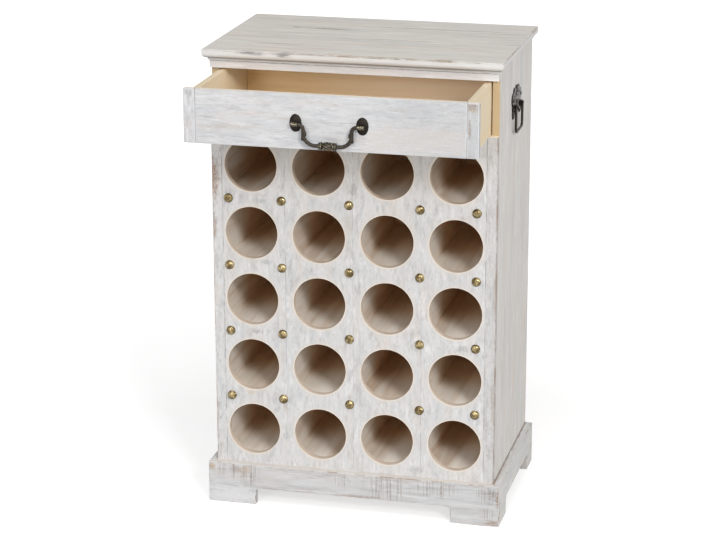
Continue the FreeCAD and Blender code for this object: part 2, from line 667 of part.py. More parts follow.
def make_drawer():
    front_extent = f"({FRONT_TOP} - {FRONT_BOTTOM})"
    body = body_at("drawer_front_panel", (f"-{FRONT_PANEL_HALF}", DRAWER_FACE, FRONT_BOTTOM))
    outline = sketch_on(body, "XZ_Plane", "Outline")
    add_rectangle(outline, "0", "0", f"2 * {FRONT_PANEL_HALF}", front_extent)
    pad(body, outline, "face_thickness", reverse=True)
    drill(body, "XZ_Plane", [(f"{FRONT_PANEL_HALF} + {at_side(side, 'handle_spacing / 2')}",
                              f"{HANDLE_HEIGHT} - {FRONT_BOTTOM}") for side in SIDES],
          "post_screw_diameter / 2 + shank_clearance")
    keep(body, "drawer_front_panel")
    for side in SIDES:
        label = f"drawer_{side}_strip"
        keep(box(label, (low_x(side, FRONT_PANEL_HALF, FRONT_HALF), DRAWER_FACE, FRONT_BOTTOM),
                 ("drawer_strip_width", "face_thickness", front_extent)), label)
        label = f"drawer_{side}_side"
        blank = box(label + "_blank", (low_x(side, BOX_INNER, BOX_HALF), DRAWER_INSIDE, BOX_BOTTOM),
                    ("drawer_side_thickness", BOX_LENGTH, f"{BOX_TOP} - {BOX_BOTTOM}"))
        groove = box(label + "_groove", (low_x(side, BOX_INNER, f"{BOX_INNER} + drawer_groove_depth"),
                                         DRAWER_INSIDE, GROOVE_BOTTOM),
                     ("drawer_groove_depth", BOX_LENGTH, GROOVE_HEIGHT))
        keep(cut(label, blank, [groove]), label)
    back_bottom = f"({GROOVE_BOTTOM} + {GROOVE_HEIGHT})"
    keep(box("drawer_back", (f"-{BOX_INNER}", f"{DRAWER_INSIDE} + {BOX_LENGTH} - drawer_back_thickness", back_bottom),
             (f"2 * {BOX_INNER}", "drawer_back_thickness", f"{BOX_TOP} - drawer_back_drop - {back_bottom}")),
         "drawer_back")
    reach = f"({BOX_INNER} + drawer_groove_depth - drawer_groove_clearance)"
    keep(box("drawer_bottom", (f"-{reach}", DRAWER_INSIDE, f"{GROOVE_BOTTOM} + drawer_groove_clearance"),
             (f"2 * {reach}", BOX_LENGTH, "drawer_bottom_thickness")), "drawer_bottom")


def make_handle_posts():
    """Rosettes and posts of the drawer's handle, each post with a knuckle bored for the bail's pin."""
    screws = []
    for side in SIDES:
        across = at_side(side, "handle_spacing / 2")
        seat = (across, DRAWER_FACE, HANDLE_HEIGHT)
        label = f"{side}_rosette"
        oval = dome(label + "_dome", seat, TOWARD_FRONT, "rosette_dome", "rosette_width / 2", "rosette_height / 2")
        hole = cylinder(label + "_hole", seat, TOWARD_FRONT, "post_diameter / 2 + shank_clearance", "bail_standoff")
        keep(cut(label, oval, [hole]), label)
        label = f"{side}_handle_post"
        stem = cylinder(label + "_stem", seat, TOWARD_FRONT, "post_diameter / 2", "bail_standoff")
        knuckle = cylinder(label + "_knuckle", (f"{across} - knuckle_length / 2", BAIL_AXIS, HANDLE_HEIGHT),
                           TOWARD_RIGHT, "knuckle_diameter / 2", "knuckle_length")
        inner_face = at_side(side, "handle_spacing / 2 - knuckle_length / 2")
        bore = cylinder(label + "_bore", (inner_face, BAIL_AXIS, HANDLE_HEIGHT), outward(side),
                        "bail_pin_diameter / 2 + pin_clearance", "knuckle_bore_depth")
        thread = cylinder(label + "_thread", seat, TOWARD_FRONT, "post_screw_diameter / 2 + shank_clearance",
                          "post_screw_bite + shank_clearance")
        keep(cut(label, fuse(label + "_blank", [stem, knuckle]), [bore, thread]), label)
        inside = (across, DRAWER_INSIDE, HANDLE_HEIGHT)
        head = cylinder("post_screw_head", inside, TOWARD_BACK, "post_screw_head_diameter / 2",
                        "post_screw_head_height")
        shank = cylinder("post_screw_shank", inside, TOWARD_FRONT, "post_screw_diameter / 2",
                         "face_thickness + post_screw_bite")
        screws.append(fuse("post_screw", [head, shank]))
    keep(group("handle_post_screws", screws), "handle_post_screws")


def end_at(sketch, edge, spot):
    """Which end of a sketch's edge lies at a spot."""
    return 1 if sketch.getPoint(edge, 1).distanceToPoint(spot) < sketch.getPoint(edge, 2).distanceToPoint(spot) else 2


def bail_path(sketch, reach, ends, outside, spacing, neck, corner, drop):
    """Draw and hold a hanging bail's path: from one shoulder down a leg, across and up to the other shoulder.

    Reach is half of the whole width. The shoulders lie outside the legs where outside is 1, inside where it is -1.
    """
    leg = f"{spacing} / 2"
    turn = f"({leg} + {outside} * {neck})"
    inside = ((ends, drop), (turn, drop), (leg, f"{drop} - {neck}"), (leg, corner), (f"({leg} - {corner})", "0"))
    left = [("0" if across == reach else f"{reach} - {across}", up) for across, up in inside]
    right = [(f"{reach} + {across}", up) for across, up in reversed(inside)]
    held = left + right
    half, bend, foot, low = size(spacing) / 2, size(neck), size(corner), size(drop)
    wide = max(half, half + outside * bend)
    stub = size("bail_end_gap")
    rough = [(half + outside * (bend + stub), low), (half + outside * bend, low), (half, low - bend),
             (half, foot), (half - foot, 0)]
    spots = [FreeCAD.Vector(wide - across, up, 0) for across, up in rough]
    spots += [FreeCAD.Vector(wide + across, up, 0) for across, up in reversed(rough)]
    slant = 0.5 ** 0.5
    neck_middle = (half + outside * (bend - bend * slant), low - bend + bend * slant)
    foot_middle = (half - foot + foot * slant, foot - foot * slant)
    bends = {1: (wide - neck_middle[0], neck_middle[1]), 3: (wide - foot_middle[0], foot_middle[1]),
             5: (wide + foot_middle[0], foot_middle[1]), 7: (wide + neck_middle[0], neck_middle[1])}
    for index in range(len(spots) - 1):
        if index in bends:
            sketch.addGeometry(Part.Arc(spots[index], FreeCAD.Vector(*bends[index], 0), spots[index + 1]))
        else:
            sketch.addGeometry(Part.LineSegment(spots[index], spots[index + 1]))
    last = len(spots) - 2
    targets = [(min(index, last), end_at(sketch, min(index, last), spot)) for index, spot in enumerate(spots)]
    for index in range(1, last + 1):
        before = (index - 1, end_at(sketch, index - 1, spots[index]))
        sketch.addConstraint(Sketcher.Constraint("Coincident", *before, *targets[index]))
    for index in bends:
        radius = sketch.addConstraint(Sketcher.Constraint("Radius", index, bend if index in (1, 7) else foot))
        sketch.setExpression(f"Constraints[{radius}]", bound(neck if index in (1, 7) else corner))
    for target, (across, up) in zip(targets, held):
        set_distance(sketch, "DistanceX", target, across)
        set_distance(sketch, "DistanceY", target, up)
    return last + 1


def bail_wire(name, corner_place, role, reach, ends, outside, spacing, wire, neck, corner, drop):
    """The round bar of a bail, swept along its path; the path's lower corner stands at a given place."""
    body = body_at(name, corner_place)
    path = sketch_on(body, role, "Path")
    count = bail_path(path, reach, ends, outside, spacing, neck, corner, drop)
    section = sketch_on(body, "YZ_Plane" if role == "XZ_Plane" else "XZ_Plane", "Section")
    add_circle(section, "0", drop, f"{wire} / 2")
    offset = f"{reach} - {ends}" if role == "XZ_Plane" else f"{ends} - {reach}"
    bind(section, ("AttachmentOffset.Base.z",), (offset,))
    pipe = body.newObject("PartDesign::AdditivePipe", "Wire")
    pipe.Profile = section
    pipe.Spine = (path, [f"Edge{index + 1}" for index in range(count)])
    return body


def make_drawer_bail():
    shoulder = "(handle_spacing / 2 - knuckle_length / 2 - bail_end_gap)"
    low = f"({HANDLE_HEIGHT} - bail_drop)"
    wire = bail_wire("drawer_bail_wire", (f"-{shoulder}", BAIL_AXIS, low), "XZ_Plane", shoulder, shoulder, 1,
                     "bail_leg_spacing", "bail_wire_diameter", "bail_neck_radius", "bail_corner_radius", "bail_drop")
    pieces = [wire]
    for side in SIDES:
        pieces.append(cylinder("drawer_bail_pin", (at_side(side, shoulder), BAIL_AXIS, HANDLE_HEIGHT), outward(side),
                               "bail_pin_diameter / 2", "bail_pin_length"))
        collar = at_side(side, "collar_spacing / 2")
        pieces.append(cylinder("drawer_bail_collar", (f"{collar} - collar_length / 2", BAIL_AXIS, low), TOWARD_RIGHT,
                               "collar_diameter / 2", "collar_length"))
    barrel = doc.addObject("Part::Ellipsoid", "drawer_bail_barrel")
    barrel.Placement.Rotation = TOWARD_RIGHT
    bind(barrel, ("Radius1", "Radius2", "Radius3"),
         ("barrel_length / 2", "barrel_diameter / 2", "barrel_diameter / 2"))
    place(barrel, ("0", BAIL_AXIS, low))
    pieces.append(barrel)
    keep(fuse("drawer_bail", pieces), "drawer_bail")


def make_side_handles():
    screws = []
    ear_inner = f"({EAR_OUTER} - ear_length)"
    for side in SIDES:
        label = f"{side}_handle_plate"
        seat = at_side(side, HALF)
        axis = at_side(side, f"{HALF} + side_bail_standoff")
        solid = []
        for along_share, up_share, radius_share in PLATE_LOBE_SHARES:
            for mirror in sorted({-along_share, along_share}):
                solid.append(cylinder(label + "_lobe", (
                    seat, f"{HANDLE_MIDDLE} + plate_width * {mirror}",
                    f"{AXIS_HEIGHT} + plate_above_axis + plate_height * {up_share}"), outward(side),
                    f"plate_height * {radius_share}", "plate_thickness"))
        band_drop = f"ear_diameter * {PLATE_BAND_DROP_SHARE}"
        band_rise = f"plate_above_axis + plate_height * {PLATE_BAND_RISE_SHARE}"
        solid.append(box(label + "_band", (
            low_x(side, HALF, f"{HALF} + plate_thickness"), f"{HANDLE_MIDDLE} - {EAR_OUTER}",
            f"{AXIS_HEIGHT} - {band_drop}"), ("plate_thickness", f"2 * {EAR_OUTER}", f"{band_rise} + {band_drop}")))
        bores = []
        for mirror in (-1, 1):
            near = ear_inner if mirror == 1 else EAR_OUTER
            start = f"{HANDLE_MIDDLE} + {mirror} * {near}"
            solid.append(cylinder(label + "_ear", (axis, start, AXIS_HEIGHT), TOWARD_BACK,
                                  "ear_diameter / 2", "ear_length"))
            solid.append(box(label + "_ear_foot", (
                low_x(side, HALF, f"{HALF} + side_bail_standoff"), start, f"{AXIS_HEIGHT} - ear_diameter / 2"),
                ("side_bail_standoff", "ear_length", "ear_diameter")))
            bores.append(cylinder(label + "_bore", (axis, f"{HANDLE_MIDDLE} + {mirror} * {EAR_OUTER}", AXIS_HEIGHT),
                                  TOWARD_FRONT if mirror == 1 else TOWARD_BACK,
                                  "side_pin_diameter / 2 + pin_clearance", "ear_bore_depth"))
        for along, up in plate_screw_places(side):
            bores.append(cylinder(label + "_hole", (seat, along, up), outward(side),
                                  "plate_screw_diameter / 2 + shank_clearance", "side_bail_standoff"))
            face = (at_side(side, f"{HALF} + plate_thickness"), along, up)
            head = dome("plate_screw_head", face, outward(side), "plate_screw_head_height",
                        "plate_screw_head_diameter / 2", "plate_screw_head_diameter / 2")
            shank = cylinder("plate_screw_shank", face, inward(side), "plate_screw_diameter / 2",
                             "plate_screw_length")
            screws.append(fuse("plate_screw", [head, shank]))
        keep(cut(label, fuse(label + "_blank", solid), bores), label)
        label = f"{side}_handle_bail"
        reach = "side_bail_leg_spacing / 2"
        shoulder = f"({EAR_OUTER} + bail_end_gap)"
        wire = bail_wire(label + "_wire", (axis, f"{HANDLE_MIDDLE} - {reach}", f"{AXIS_HEIGHT} - side_bail_drop"),
                         "YZ_Plane", reach, shoulder, -1, "side_bail_leg_spacing", "side_bail_wire_diameter",
                         "side_bail_neck_radius", "side_bail_corner_radius", "side_bail_drop")
        pins = [cylinder(label + "_pin", (axis, f"{HANDLE_MIDDLE} + {mirror} * {shoulder}", AXIS_HEIGHT),
                         TOWARD_FRONT if mirror == 1 else TOWARD_BACK, "side_pin_diameter / 2",
                         "side_pin_length") for mirror in (-1, 1)]
        keep(fuse(label, [wire] + pins), label)
    keep(group("handle_plate_screws", screws), "handle_plate_screws")


make_top_board()
make_trim_and_frieze()
make_side_panels_and_stiles()
make_bottle_front()
make_bottle_grid()
make_deck_bottom_and_back()
make_kickers()
make_plinth()
make_fasteners()
make_drawer()
make_handle_posts()
make_drawer_bail()
make_side_handles()
doc.recompute()

failed = [thing.Label for thing in doc.Objects if {"Invalid", "Error"} & set(thing.State)]
failed += [part.Label for part in parts if part.Shape.isNull() or not part.Shape.isValid()]
if failed:
    raise RuntimeError("not built: " + ", ".join(failed))
os.makedirs("parts", exist_ok=True)
for part in parts:
    part.Shape.exportStep(f"parts/{part.Label}.step")
print(len(parts), "pieces written")
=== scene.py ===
"""Finishes, ornaments, stage and camera for a whitewashed wine cabinet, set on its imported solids."""

import math

import bmesh
import bpy
from bpy.props import FloatProperty, FloatVectorProperty, IntProperty, PointerProperty
from mathutils import Matrix, Vector


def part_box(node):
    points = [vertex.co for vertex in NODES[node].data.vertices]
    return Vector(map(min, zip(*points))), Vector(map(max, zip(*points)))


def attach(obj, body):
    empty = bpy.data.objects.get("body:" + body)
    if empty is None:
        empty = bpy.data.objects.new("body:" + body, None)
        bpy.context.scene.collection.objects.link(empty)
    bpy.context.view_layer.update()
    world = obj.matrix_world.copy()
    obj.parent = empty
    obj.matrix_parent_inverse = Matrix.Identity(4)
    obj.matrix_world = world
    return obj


bl_info = {
    "name": "Whitewashed wine cabinet",
    "version": (1, 0, 0),
    "blender": (4, 5, 0),
    "location": "View3D > Sidebar > Cabinet",
    "description": "Finishes, small ornaments, stage and camera for a wine cabinet",
    "category": "Object",
}

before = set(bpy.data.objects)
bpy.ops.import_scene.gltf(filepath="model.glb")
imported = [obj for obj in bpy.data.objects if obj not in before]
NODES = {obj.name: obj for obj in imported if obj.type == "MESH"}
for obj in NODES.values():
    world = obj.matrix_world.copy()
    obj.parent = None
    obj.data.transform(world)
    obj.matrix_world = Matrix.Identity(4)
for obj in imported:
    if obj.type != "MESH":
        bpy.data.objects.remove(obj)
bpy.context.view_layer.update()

PLANKS = [f"bottle_front_{number}" for number in (1, 2, 3, 4)]
SHELVES = [f"bottle_shelf_{number}" for number in (1, 2, 3, 4)]
DIVIDERS = [f"bottle_divider_{number}" for number in (1, 2, 3)]
STILES = ["left_stile", "right_stile"]
BLOCKS = [f"plinth_block_{end}_{side}" for end in ("front", "rear") for side in ("left", "right")]
HOLE_RADIUS = 0.04525
# Between these depths the cells' wood turns from pale to browner and darker; the deep wood is partly painted shade
# of the deep cells.
CELL_PALE_DEPTH = 0.08
CELL_BROWN_DEPTH = 0.17
CELL_CONTRAST = 0.85

# How much of its fineness the grain keeps along each axis; it runs along the axis that keeps least.
ALONG_X = (0.055, 1.0, 1.0)
ALONG_Y = (1.0, 0.055, 1.0)
ALONG_Z = (1.0, 1.0, 0.055)
TOP_GRAIN = (0.03, 1.3, 1.3)
SHORT_X = (0.24, 2.2, 2.2)
SHORT_Z = (1.2, 1.2, 0.34)

# Tints of the paint, board by board. Those of the top and the frieze also lift their brightness, as painted light.
PLAIN_TONE = (1.0, 1.0, 1.0)
GREY_TONE = (1.06, 1.035, 1.0)
TOP_TONE = (1.085, 1.047, 0.990)
COOL_TONE = (0.93, 0.94, 0.96)
PLINTH_TONE = (0.905, 0.91, 0.92)
SIDE_PLINTH_TONE = (1.02, 1.01, 0.985)
FRIEZE_TONE = (1.10, 1.08, 1.08)

# Painted faces: a one stands for both faces that look along that axis.
ALL_FACES = (1, 1, 1)
UPRIGHT_FACES = (1, 1, 0)
FRONT_AND_BACK = (0, 1, 0)
END_FACES = (1, 0, 0)
NO_FACE = (0, 0, 0)
TOWARD_FRONT = (0, -1, 0)

PAINT_ROUGHNESS = 0.72
EDGE_ROUGHNESS = 0.75
WOOD_ROUGHNESS = 0.78
PAINT_BUMP, PAINT_BUMP_HEIGHT = 0.2, 0.0006
WOOD_BUMP = 0.15
METAL_BUMP, METAL_BUMP_HEIGHT = 0.12, 0.0003
RAGGED_SPOT, SOFT_SPOT, SAW_SPOT = 2.2, 0.3, 0.6
SHADOW_SHARE = 0.6      # brightness of shadows and saw scores, as a share of the shade they are made from
UNDER_SHADE = 0.9       # how dark the painted shade is on the undersides of the top and the trim
MARK_DEPTH = 0.02       # how far a mark on a face reaches into the board
GRAIN_STEP = 3.7        # shift of the grain from one piece to the next
GRAIN_WAY = (1.0, 1.7, 2.3)
FIELD_WAY = (1.3, 0.7, 1.9)
SAW_STRENGTH = 0.62
JOINED_CORNERS = 0.00002
FLAT_ANGLE = math.radians(0.4)
EDGE_ANGLE = math.radians(40)

# Fields of the paint: name, offset of the noise, its scale, detail and roughness, where it starts and is full.
PAINT_FIELDS = (
    ("cool", (0.0, 0.0, 0.0), 30.0, 6.0, 0.70, 0.44, 0.68),
    ("warm", (3.1, 5.7, 1.9), 26.0, 6.0, 0.70, 0.48, 0.70),
    ("chalk", (7.7, 3.9, 0.8), 105.0, 6.0, 0.72, 0.50, 0.66),
    ("mottle", (0.0, 0.0, 0.0), 150.0, 5.0, 0.68, 0.48, 0.74),
    ("smudges", (5.5, 1.4, 8.2), 62.0, 4.0, 0.60, 0.46, 0.78),
    ("scuffs", (2.6, 7.3, 4.4), 75.0, 5.0, 0.72, 0.58, 0.72),
)

# Round a bottle hole, measured from its edge: the warm tint, with how far it wanders, and the sanded rim. On the
# wall of the hole: the lip. Between the planks: the seam. Each has where it starts and ends, or its strength.
HOLE_TINT, HOLE_TINT_STRENGTH, HOLE_TINT_WANDER = (-0.004, 0.003), 0.5, 0.012
RIM_FULL_SHARE, RIM_STRENGTH = 0.6, 0.5
HOLE_LIP = (0.0006, 0.0018)
PLANK_SEAM, PLANK_SEAM_STRENGTH = (0.0002, 0.0007), 0.55
DRAWER_BACK_LIGHT_TURN = (-0.17, 0.10)    # where the drawer's back turns from its left to its paler right shades, painted light on its right

# Marks on the bottle front: across, height, half width, half height, shade, strength.
PLANK_MARKS = (
    (0.0007, 0.5720, 0.008, 0.014, "grime", 0.55), (-0.0112, 0.5798, 0.010, 0.012, "warm", 0.6),
    (-0.1580, 0.5430, 0.010, 0.005, "grime", 0.4), (-0.1544, 0.5536, 0.010, 0.004, "bare", 0.3),
    (-0.1509, 0.4370, 0.012, 0.005, "grime", 0.4), (-0.1705, 0.3130, 0.014, 0.006, "grime", 0.5),
    (-0.1812, 0.2018, 0.008, 0.004, "raw", 0.6), (-0.1370, 0.1728, 0.008, 0.006, "grime", 0.35),
    (-0.1198, 0.1267, 0.008, 0.008, "grime", 0.4), (0.1095, 0.0856, 0.014, 0.008, "grime", 0.4),
    (0.1871, 0.3094, 0.014, 0.007, "grime", 0.45), (0.1866, 0.5344, 0.008, 0.005, "bare", 0.4),
)

# Streaks on the upper face of the top: across, back, half length, half width, shade, strength.
TOP_STREAKS = (
    (-0.095, 0.131, 0.062, 0.0034, "bare", 1.0), (-0.148, 0.1335, 0.012, 0.0042, "grime", 1.0),
    (-0.075, 0.128, 0.034, 0.0022, "grime", 0.8), (0.09, 0.165, 0.150, 0.003, "bare", 0.6),
    (0.20, 0.150, 0.050, 0.003, "grime", 0.6), (-0.14, -0.01, 0.060, 0.005, "bare", 0.5),
    (0.05, 0.06, 0.120, 0.003, "bare", 0.45),
)
TOP_STREAK_DEPTH = 0.01

# Bunches of saw marks on the plinth's front: across, height, half width, half height.
SAW_BUNCHES = (
    (-0.232, 0.064, 0.010, 0.020), (-0.213, 0.064, 0.006, 0.026), (-0.184, 0.060, 0.022, 0.032),
    (-0.018, 0.060, 0.018, 0.018), (0.058, 0.052, 0.050, 0.034), (0.146, 0.060, 0.044, 0.022),
    (0.236, 0.056, 0.024, 0.018), (0.236, 0.022, 0.016, 0.014),
)

# The drawer's bail: its barrel and reeds, its rings (reach from the middle, radius) and its legs.
BARREL_HALF = 0.0094
BARREL_ROUNDING = 0.72
REED_RADIUS, REED_REACH, REED_SLANT, REED_STEPS = 0.00105, 0.92, 0.8, 12
RING_BAR = 0.0014
BAIL_RINGS = ((0.0100, 0.0052), (0.0134, 0.0048))
LEG_INSET = 0.0166
# Leaves on each leg: out from the leg, up from the bar, half sizes, turn.
BAIL_LEAVES = (
    (0.0014, 0.0105, (0.0020, 0.0030, 0.0036), -0.12),
    (-0.0026, 0.0205, (0.0024, 0.0030, 0.0060), 0.35),
    (0.0004, 0.0125, (0.0027, 0.0034, 0.0062), 0.15),
    (-0.0045, 0.0065, (0.0024, 0.0033, 0.0060), 0.75),
)

# Relief on a side plate, about the middle of its crown: a fan of leaves, single beads (up, half sizes), and beads in
# pairs (out, up, half sizes, turn).
CROWN_DROP, RELIEF_LIFT = 0.026, 0.0025
FAN_TILTS = (-1.15, -0.6, 0.0, 0.6, 1.15)
FAN_RADIUS, FAN_LIFT, FAN_LEAF = 0.0105, 0.0025, (0.0019, 0.0034, 0.0098)
MIDDLE_BEADS = (
    (0.0205, (0.0017, 0.0030, 0.0050)), (-0.0005, (0.0030, 0.0052, 0.0052)), (-0.0170, (0.0017, 0.0032, 0.0070)),
)
PAIRED_BEADS = (
    (0.0085, -0.0110, (0.0016, 0.0030, 0.0062), 0.6), (0.0295, -0.0165, (0.0015, 0.0030, 0.0095), -0.08),
    (0.0200, 0.0080, (0.0015, 0.0032, 0.0060), -1.0),
)

# Lamps: name, degrees from the front toward the right, degrees of rise, size, property that holds the power.
LAMPS = (
    ("High front light", 5, 60, 3.6, "high_power"), ("Key light", 33, 28, 1.5, "key_power"),
    ("Left light", -12, 17, 1.8, "left_power"), ("Side light", 75, 15, 2.8, "side_power"),
)
LAMP_AIM, LAMP_DISTANCE = Vector((0.0, 0.0, 0.42)), 8.0
FLOOR_GREY = (0.6, 0.6, 0.6, 1.0)
# The floor's own brightness to the camera rises from the object outward: distances, levels.
FLOOR_LIFT = {"From Min": 0.6, "From Max": 3.0, "To Min": 0.62, "To Max": 0.95}
WHITE = (1.0, 1.0, 1.0, 1.0)
SENSOR_WIDTH, VIEW_END = 36.0, 60.0


def shade(*screen):
    """Scene-linear colour of a shade given in screen values from 0 to 255."""
    return tuple(((value / 255 + 0.055) / 1.055) ** 2.4 for value in screen)


def darker(colour, share):
    return tuple(share * value for value in colour)


def colour_property(name, description, *screen):
    return FloatVectorProperty(name=name, description=description, subtype="COLOR", size=3, min=0.0, max=1.0,
                               default=shade(*screen))


def length_property(name, description, default, **limits):
    return FloatProperty(name=name, description=description, unit="LENGTH", default=default, **limits)


def power_property(name, description, default):
    return FloatProperty(name=name, description=description, unit="POWER", default=default)


class CabinetWood(bpy.types.PropertyGroup):
    """Shades of the paint and the bare wood, and how the edges are eased."""
    paint: colour_property("Paint", "Thin white paint", 213, 212, 211)
    cool: colour_property("Cool paint", "Greyer fields of the paint", 200, 201, 202)
    warm: colour_property("Warm paint", "Fields where wood warms the paint", 211, 204, 198)
    # Fresh paint also colours the painted highlight on the upright faces of the top and the trims.
    fresh: colour_property("Fresh paint", "Thicker paint on the edge of the top", 217, 217, 218)
    # Grime also colours painted shade: under the top and the trims, in the drawer's groove, and in shadow lines.
    grime: colour_property("Grime", "Dark lines in the grain", 134, 130, 128)
    olive: colour_property("Worn edge", "Olive wood along the worn edge of the top", 142, 127, 101)
    bare: colour_property("Bare wood", "Wood where the paint is rubbed through", 154, 130, 114)
    rim: colour_property("Cut edges", "Cream wood at the rims of the bottle holes and on cut ends", 240, 228, 212)
    cell: colour_property("Cell wood", "Pale wood in the front of the bottle cells", 255, 248, 238)
    cell_dark: colour_property("Cell grain", "Darker grain in the front of the bottle cells", 226, 204, 182)
    # Deep wood colours the back panel and the depths of the cells; its darker brown is partly painted shade.
    deep: colour_property("Deep wood", "Browner wood deep in the bottle cells", 246, 218, 188)
    deep_dark: colour_property("Deep grain", "Darker grain deep in the bottle cells", 228, 190, 152)
    # The hole wall is darker than the cream rim, partly as painted shade.
    hole: colour_property("Hole wall", "Sawn walls of the bottle holes", 208, 192, 176)
    box: colour_property("Drawer wood", "Wood of the drawer's box", 228, 212, 184)
    box_dark: colour_property("Drawer grain", "Darker grain of the drawer's box", 230, 196, 148)
    drawer_back: colour_property("Drawer back", "Wood at the left of the drawer's back", 237, 211, 168)
    drawer_back_dark: colour_property("Drawer back grain", "Darker grain at the left of the drawer's back",
                                      210, 158, 96)
    # The pale drawer wood is also the painted light on the right of the drawer's back.
    drawer_pale: colour_property("Pale drawer wood", "Wood at the right of the drawer's back, and its bottom",
                                 255, 235, 208)
    drawer_pale_dark: colour_property("Pale drawer grain", "Darker grain of the pale drawer wood", 255, 216, 174)
    raw: colour_property("Raw edge", "Yellow wood on the front edges of the side panels", 197, 173, 136)
    ease: length_property("Eased edge", "Width of the eased edges of the boards", 0.0009, min=0.0001, max=0.003)
    rim_width: length_property("Rim", "Width of the sanded rims of the bottle holes", 0.0019, min=0.0001,
                               max=0.004)
    groove_ease: length_property("Strip groove", "Chamfer beside the drawer front's end strips", 0.0014,
                                 min=0.0001, max=0.003)


class CabinetMetal(bpy.types.PropertyGroup):
    """Shades of the handles, nails and screws."""
    bronze: colour_property("Bronze", "Dark antique metal of the handles", 58, 53, 48)
    # The rubbed shade also stands in for highlights on the drawer's handle.
    bronze_rub_and_highlight: colour_property("Rubbed bronze", "Metal where hands have rubbed it", 150, 142, 118)
    # The worn relief's light grey also stands in for highlights on the side plates' relief.
    relief: colour_property("Worn relief", "Raised leaves of the side handles, worn grey", 150, 142, 140)
    brass: colour_property("Nails", "Darkened brass of the domed nails", 166, 150, 112)
    brass_dark: colour_property("Nail patina", "Patina on the domed nails", 100, 86, 60)
    steel: colour_property("Steel", "Screws and pins", 190, 190, 188)
    reeds: IntProperty(name="Reeds", description="Slanting reeds round the barrel of the drawer's handle",
                       default=8, min=4, max=24)


class CabinetStage(bpy.types.PropertyGroup):
    """Floor, light and camera."""
    floor_reach: length_property("Floor", "Half width of the floor", 14.0)
    fill: FloatProperty(name="Fill", description="Strength of the even light from all round", default=0.24)
    high_power: power_property("High", "Power of the high front light", 185.0)
    key_power: power_property("Key", "Power of the light at the front right", 290.0)
    left_power: power_property("Left", "Power of the light at the front left", 145.0)
    side_power: power_property("Side", "Power of the light on the right side", 130.0)
    camera_place: FloatVectorProperty(name="Camera", description="Place of the camera", subtype="TRANSLATION",
                                      unit="LENGTH", size=3, default=(0.92801, -3.71534, 1.58115))
    camera_forward: FloatVectorProperty(name="View", description="Direction in which the camera looks",
                                        subtype="DIRECTION", size=3, default=(-0.23386, 0.92746, -0.29178))
    camera_up: FloatVectorProperty(name="Up", description="Direction that is up in the picture",
                                   subtype="DIRECTION", size=3, default=(-0.06828, 0.28370, 0.95648))
    lens: FloatProperty(name="Lens", description="Focal length in millimetres", default=118.427)


class Value:
    """A socket to reckon with: each sum, difference, product or share of values or vectors makes a node."""

    def __init__(self, recipe, socket):
        self.recipe = recipe
        self.socket = socket

    def reckon(self, operation, first, second):
        kind = "ShaderNodeVectorMath" if self.socket.type == "VECTOR" else "ShaderNodeMath"
        return Value(self.recipe, self.recipe.add(kind, {0: first, 1: second}, operation=operation).outputs[0])

    def __add__(self, other):
        return self.reckon("ADD", self, other)

    def __sub__(self, other):
        return self.reckon("SUBTRACT", self, other)

    def __rsub__(self, other):
        return self.reckon("SUBTRACT", other, self)

    def __mul__(self, other):
        return self.reckon("MULTIPLY", self, other)

    def __truediv__(self, other):
        return self.reckon("DIVIDE", self, other)

    def __abs__(self):
        return self.recipe.maths("ABSOLUTE", self)


class NodeRecipe:
    """A node tree in the making, with a short call for each kind of node that the finishes need."""

    def __init__(self, tree):
        self.tree = tree

    def link(self, source, socket):
        self.tree.links.new(source.socket if isinstance(source, Value) else source, socket)

    def add(self, kind, inputs=None, **settings):
        """A node with its settings; an input given as a socket is linked, any other is set."""
        made = self.tree.nodes.new(kind)
        for name, value in settings.items():
            setattr(made, name, value)
        for key, value in (inputs or {}).items():
            socket = made.inputs[key]
            if isinstance(value, (Value, bpy.types.NodeSocket)):
                self.link(value, socket)
            elif socket.type == "RGBA":
                socket.default_value = (*tuple(value)[:3], 1.0)
            else:
                socket.default_value = value
        return made

    def use(self, name, inputs):
        """The outputs of a node group, placed with its inputs."""
        made = self.add("ShaderNodeGroup", inputs, node_tree=bpy.data.node_groups[name])
        return {socket.name: Value(self, socket) for socket in made.outputs}

    def grain(self, vector, stretch, shift):
        return self.use("Wood grain", {"Vector": vector, "Stretch": stretch, "Shift": shift})

    def maths(self, operation, *values):
        return Value(self, self.add("ShaderNodeMath", dict(enumerate(values)), operation=operation).outputs[0])

    def vectors(self, operation, *values):
        made = self.add("ShaderNodeVectorMath", dict(enumerate(values)), operation=operation)
        return Value(self, made.outputs["Value" if operation in ("LENGTH", "DOT_PRODUCT") else "Vector"])

    def shifted(self, vector, way, amount):
        """A vector moved along a way, so that no two boards share their grain."""
        return vector + self.add("ShaderNodeVectorMath", {0: way, "Scale": amount}, operation="SCALE").outputs[0]

    def along(self, vector, axis):
        return Value(self, self.add("ShaderNodeSeparateXYZ", {0: vector}).outputs[axis])

    def ramp(self, value, low, high, way="SMOOTHSTEP"):
        """Nought below one value and one above another, smooth between them where no other way is named."""
        return Value(self, self.add("ShaderNodeMapRange", {"Value": value, "From Min": low, "From Max": high},
                                    interpolation_type=way).outputs[0])

    def noise(self, vector, scale, detail=2.0, roughness=0.5, distortion=0.0):
        inputs = {"Vector": vector, "Scale": scale, "Detail": detail, "Roughness": roughness,
                  "Distortion": distortion}
        return Value(self, self.add("ShaderNodeTexNoise", inputs).outputs[0])

    def blend(self, factor, first, second, way="MIX"):
        """Mix of two colours; each may be a socket or a plain colour."""
        return Value(self, self.add("ShaderNodeMix", {0: factor, 6: first, 7: second}, data_type="RGBA",
                                    blend_type=way).outputs[2])


def grain_pattern(group, vector, stretch, shift):
    """Long wood grain at three widths, drawn out along the direction that Stretch makes short."""
    drawn = group.shifted(vector * stretch, GRAIN_WAY, shift)
    return (group.noise(drawn, 420.0, 3.0, 0.62), group.noise(drawn, 120.0, 4.0, 0.58, 0.35),
            group.noise(drawn, 26.0, 3.0, 0.5, 0.8))


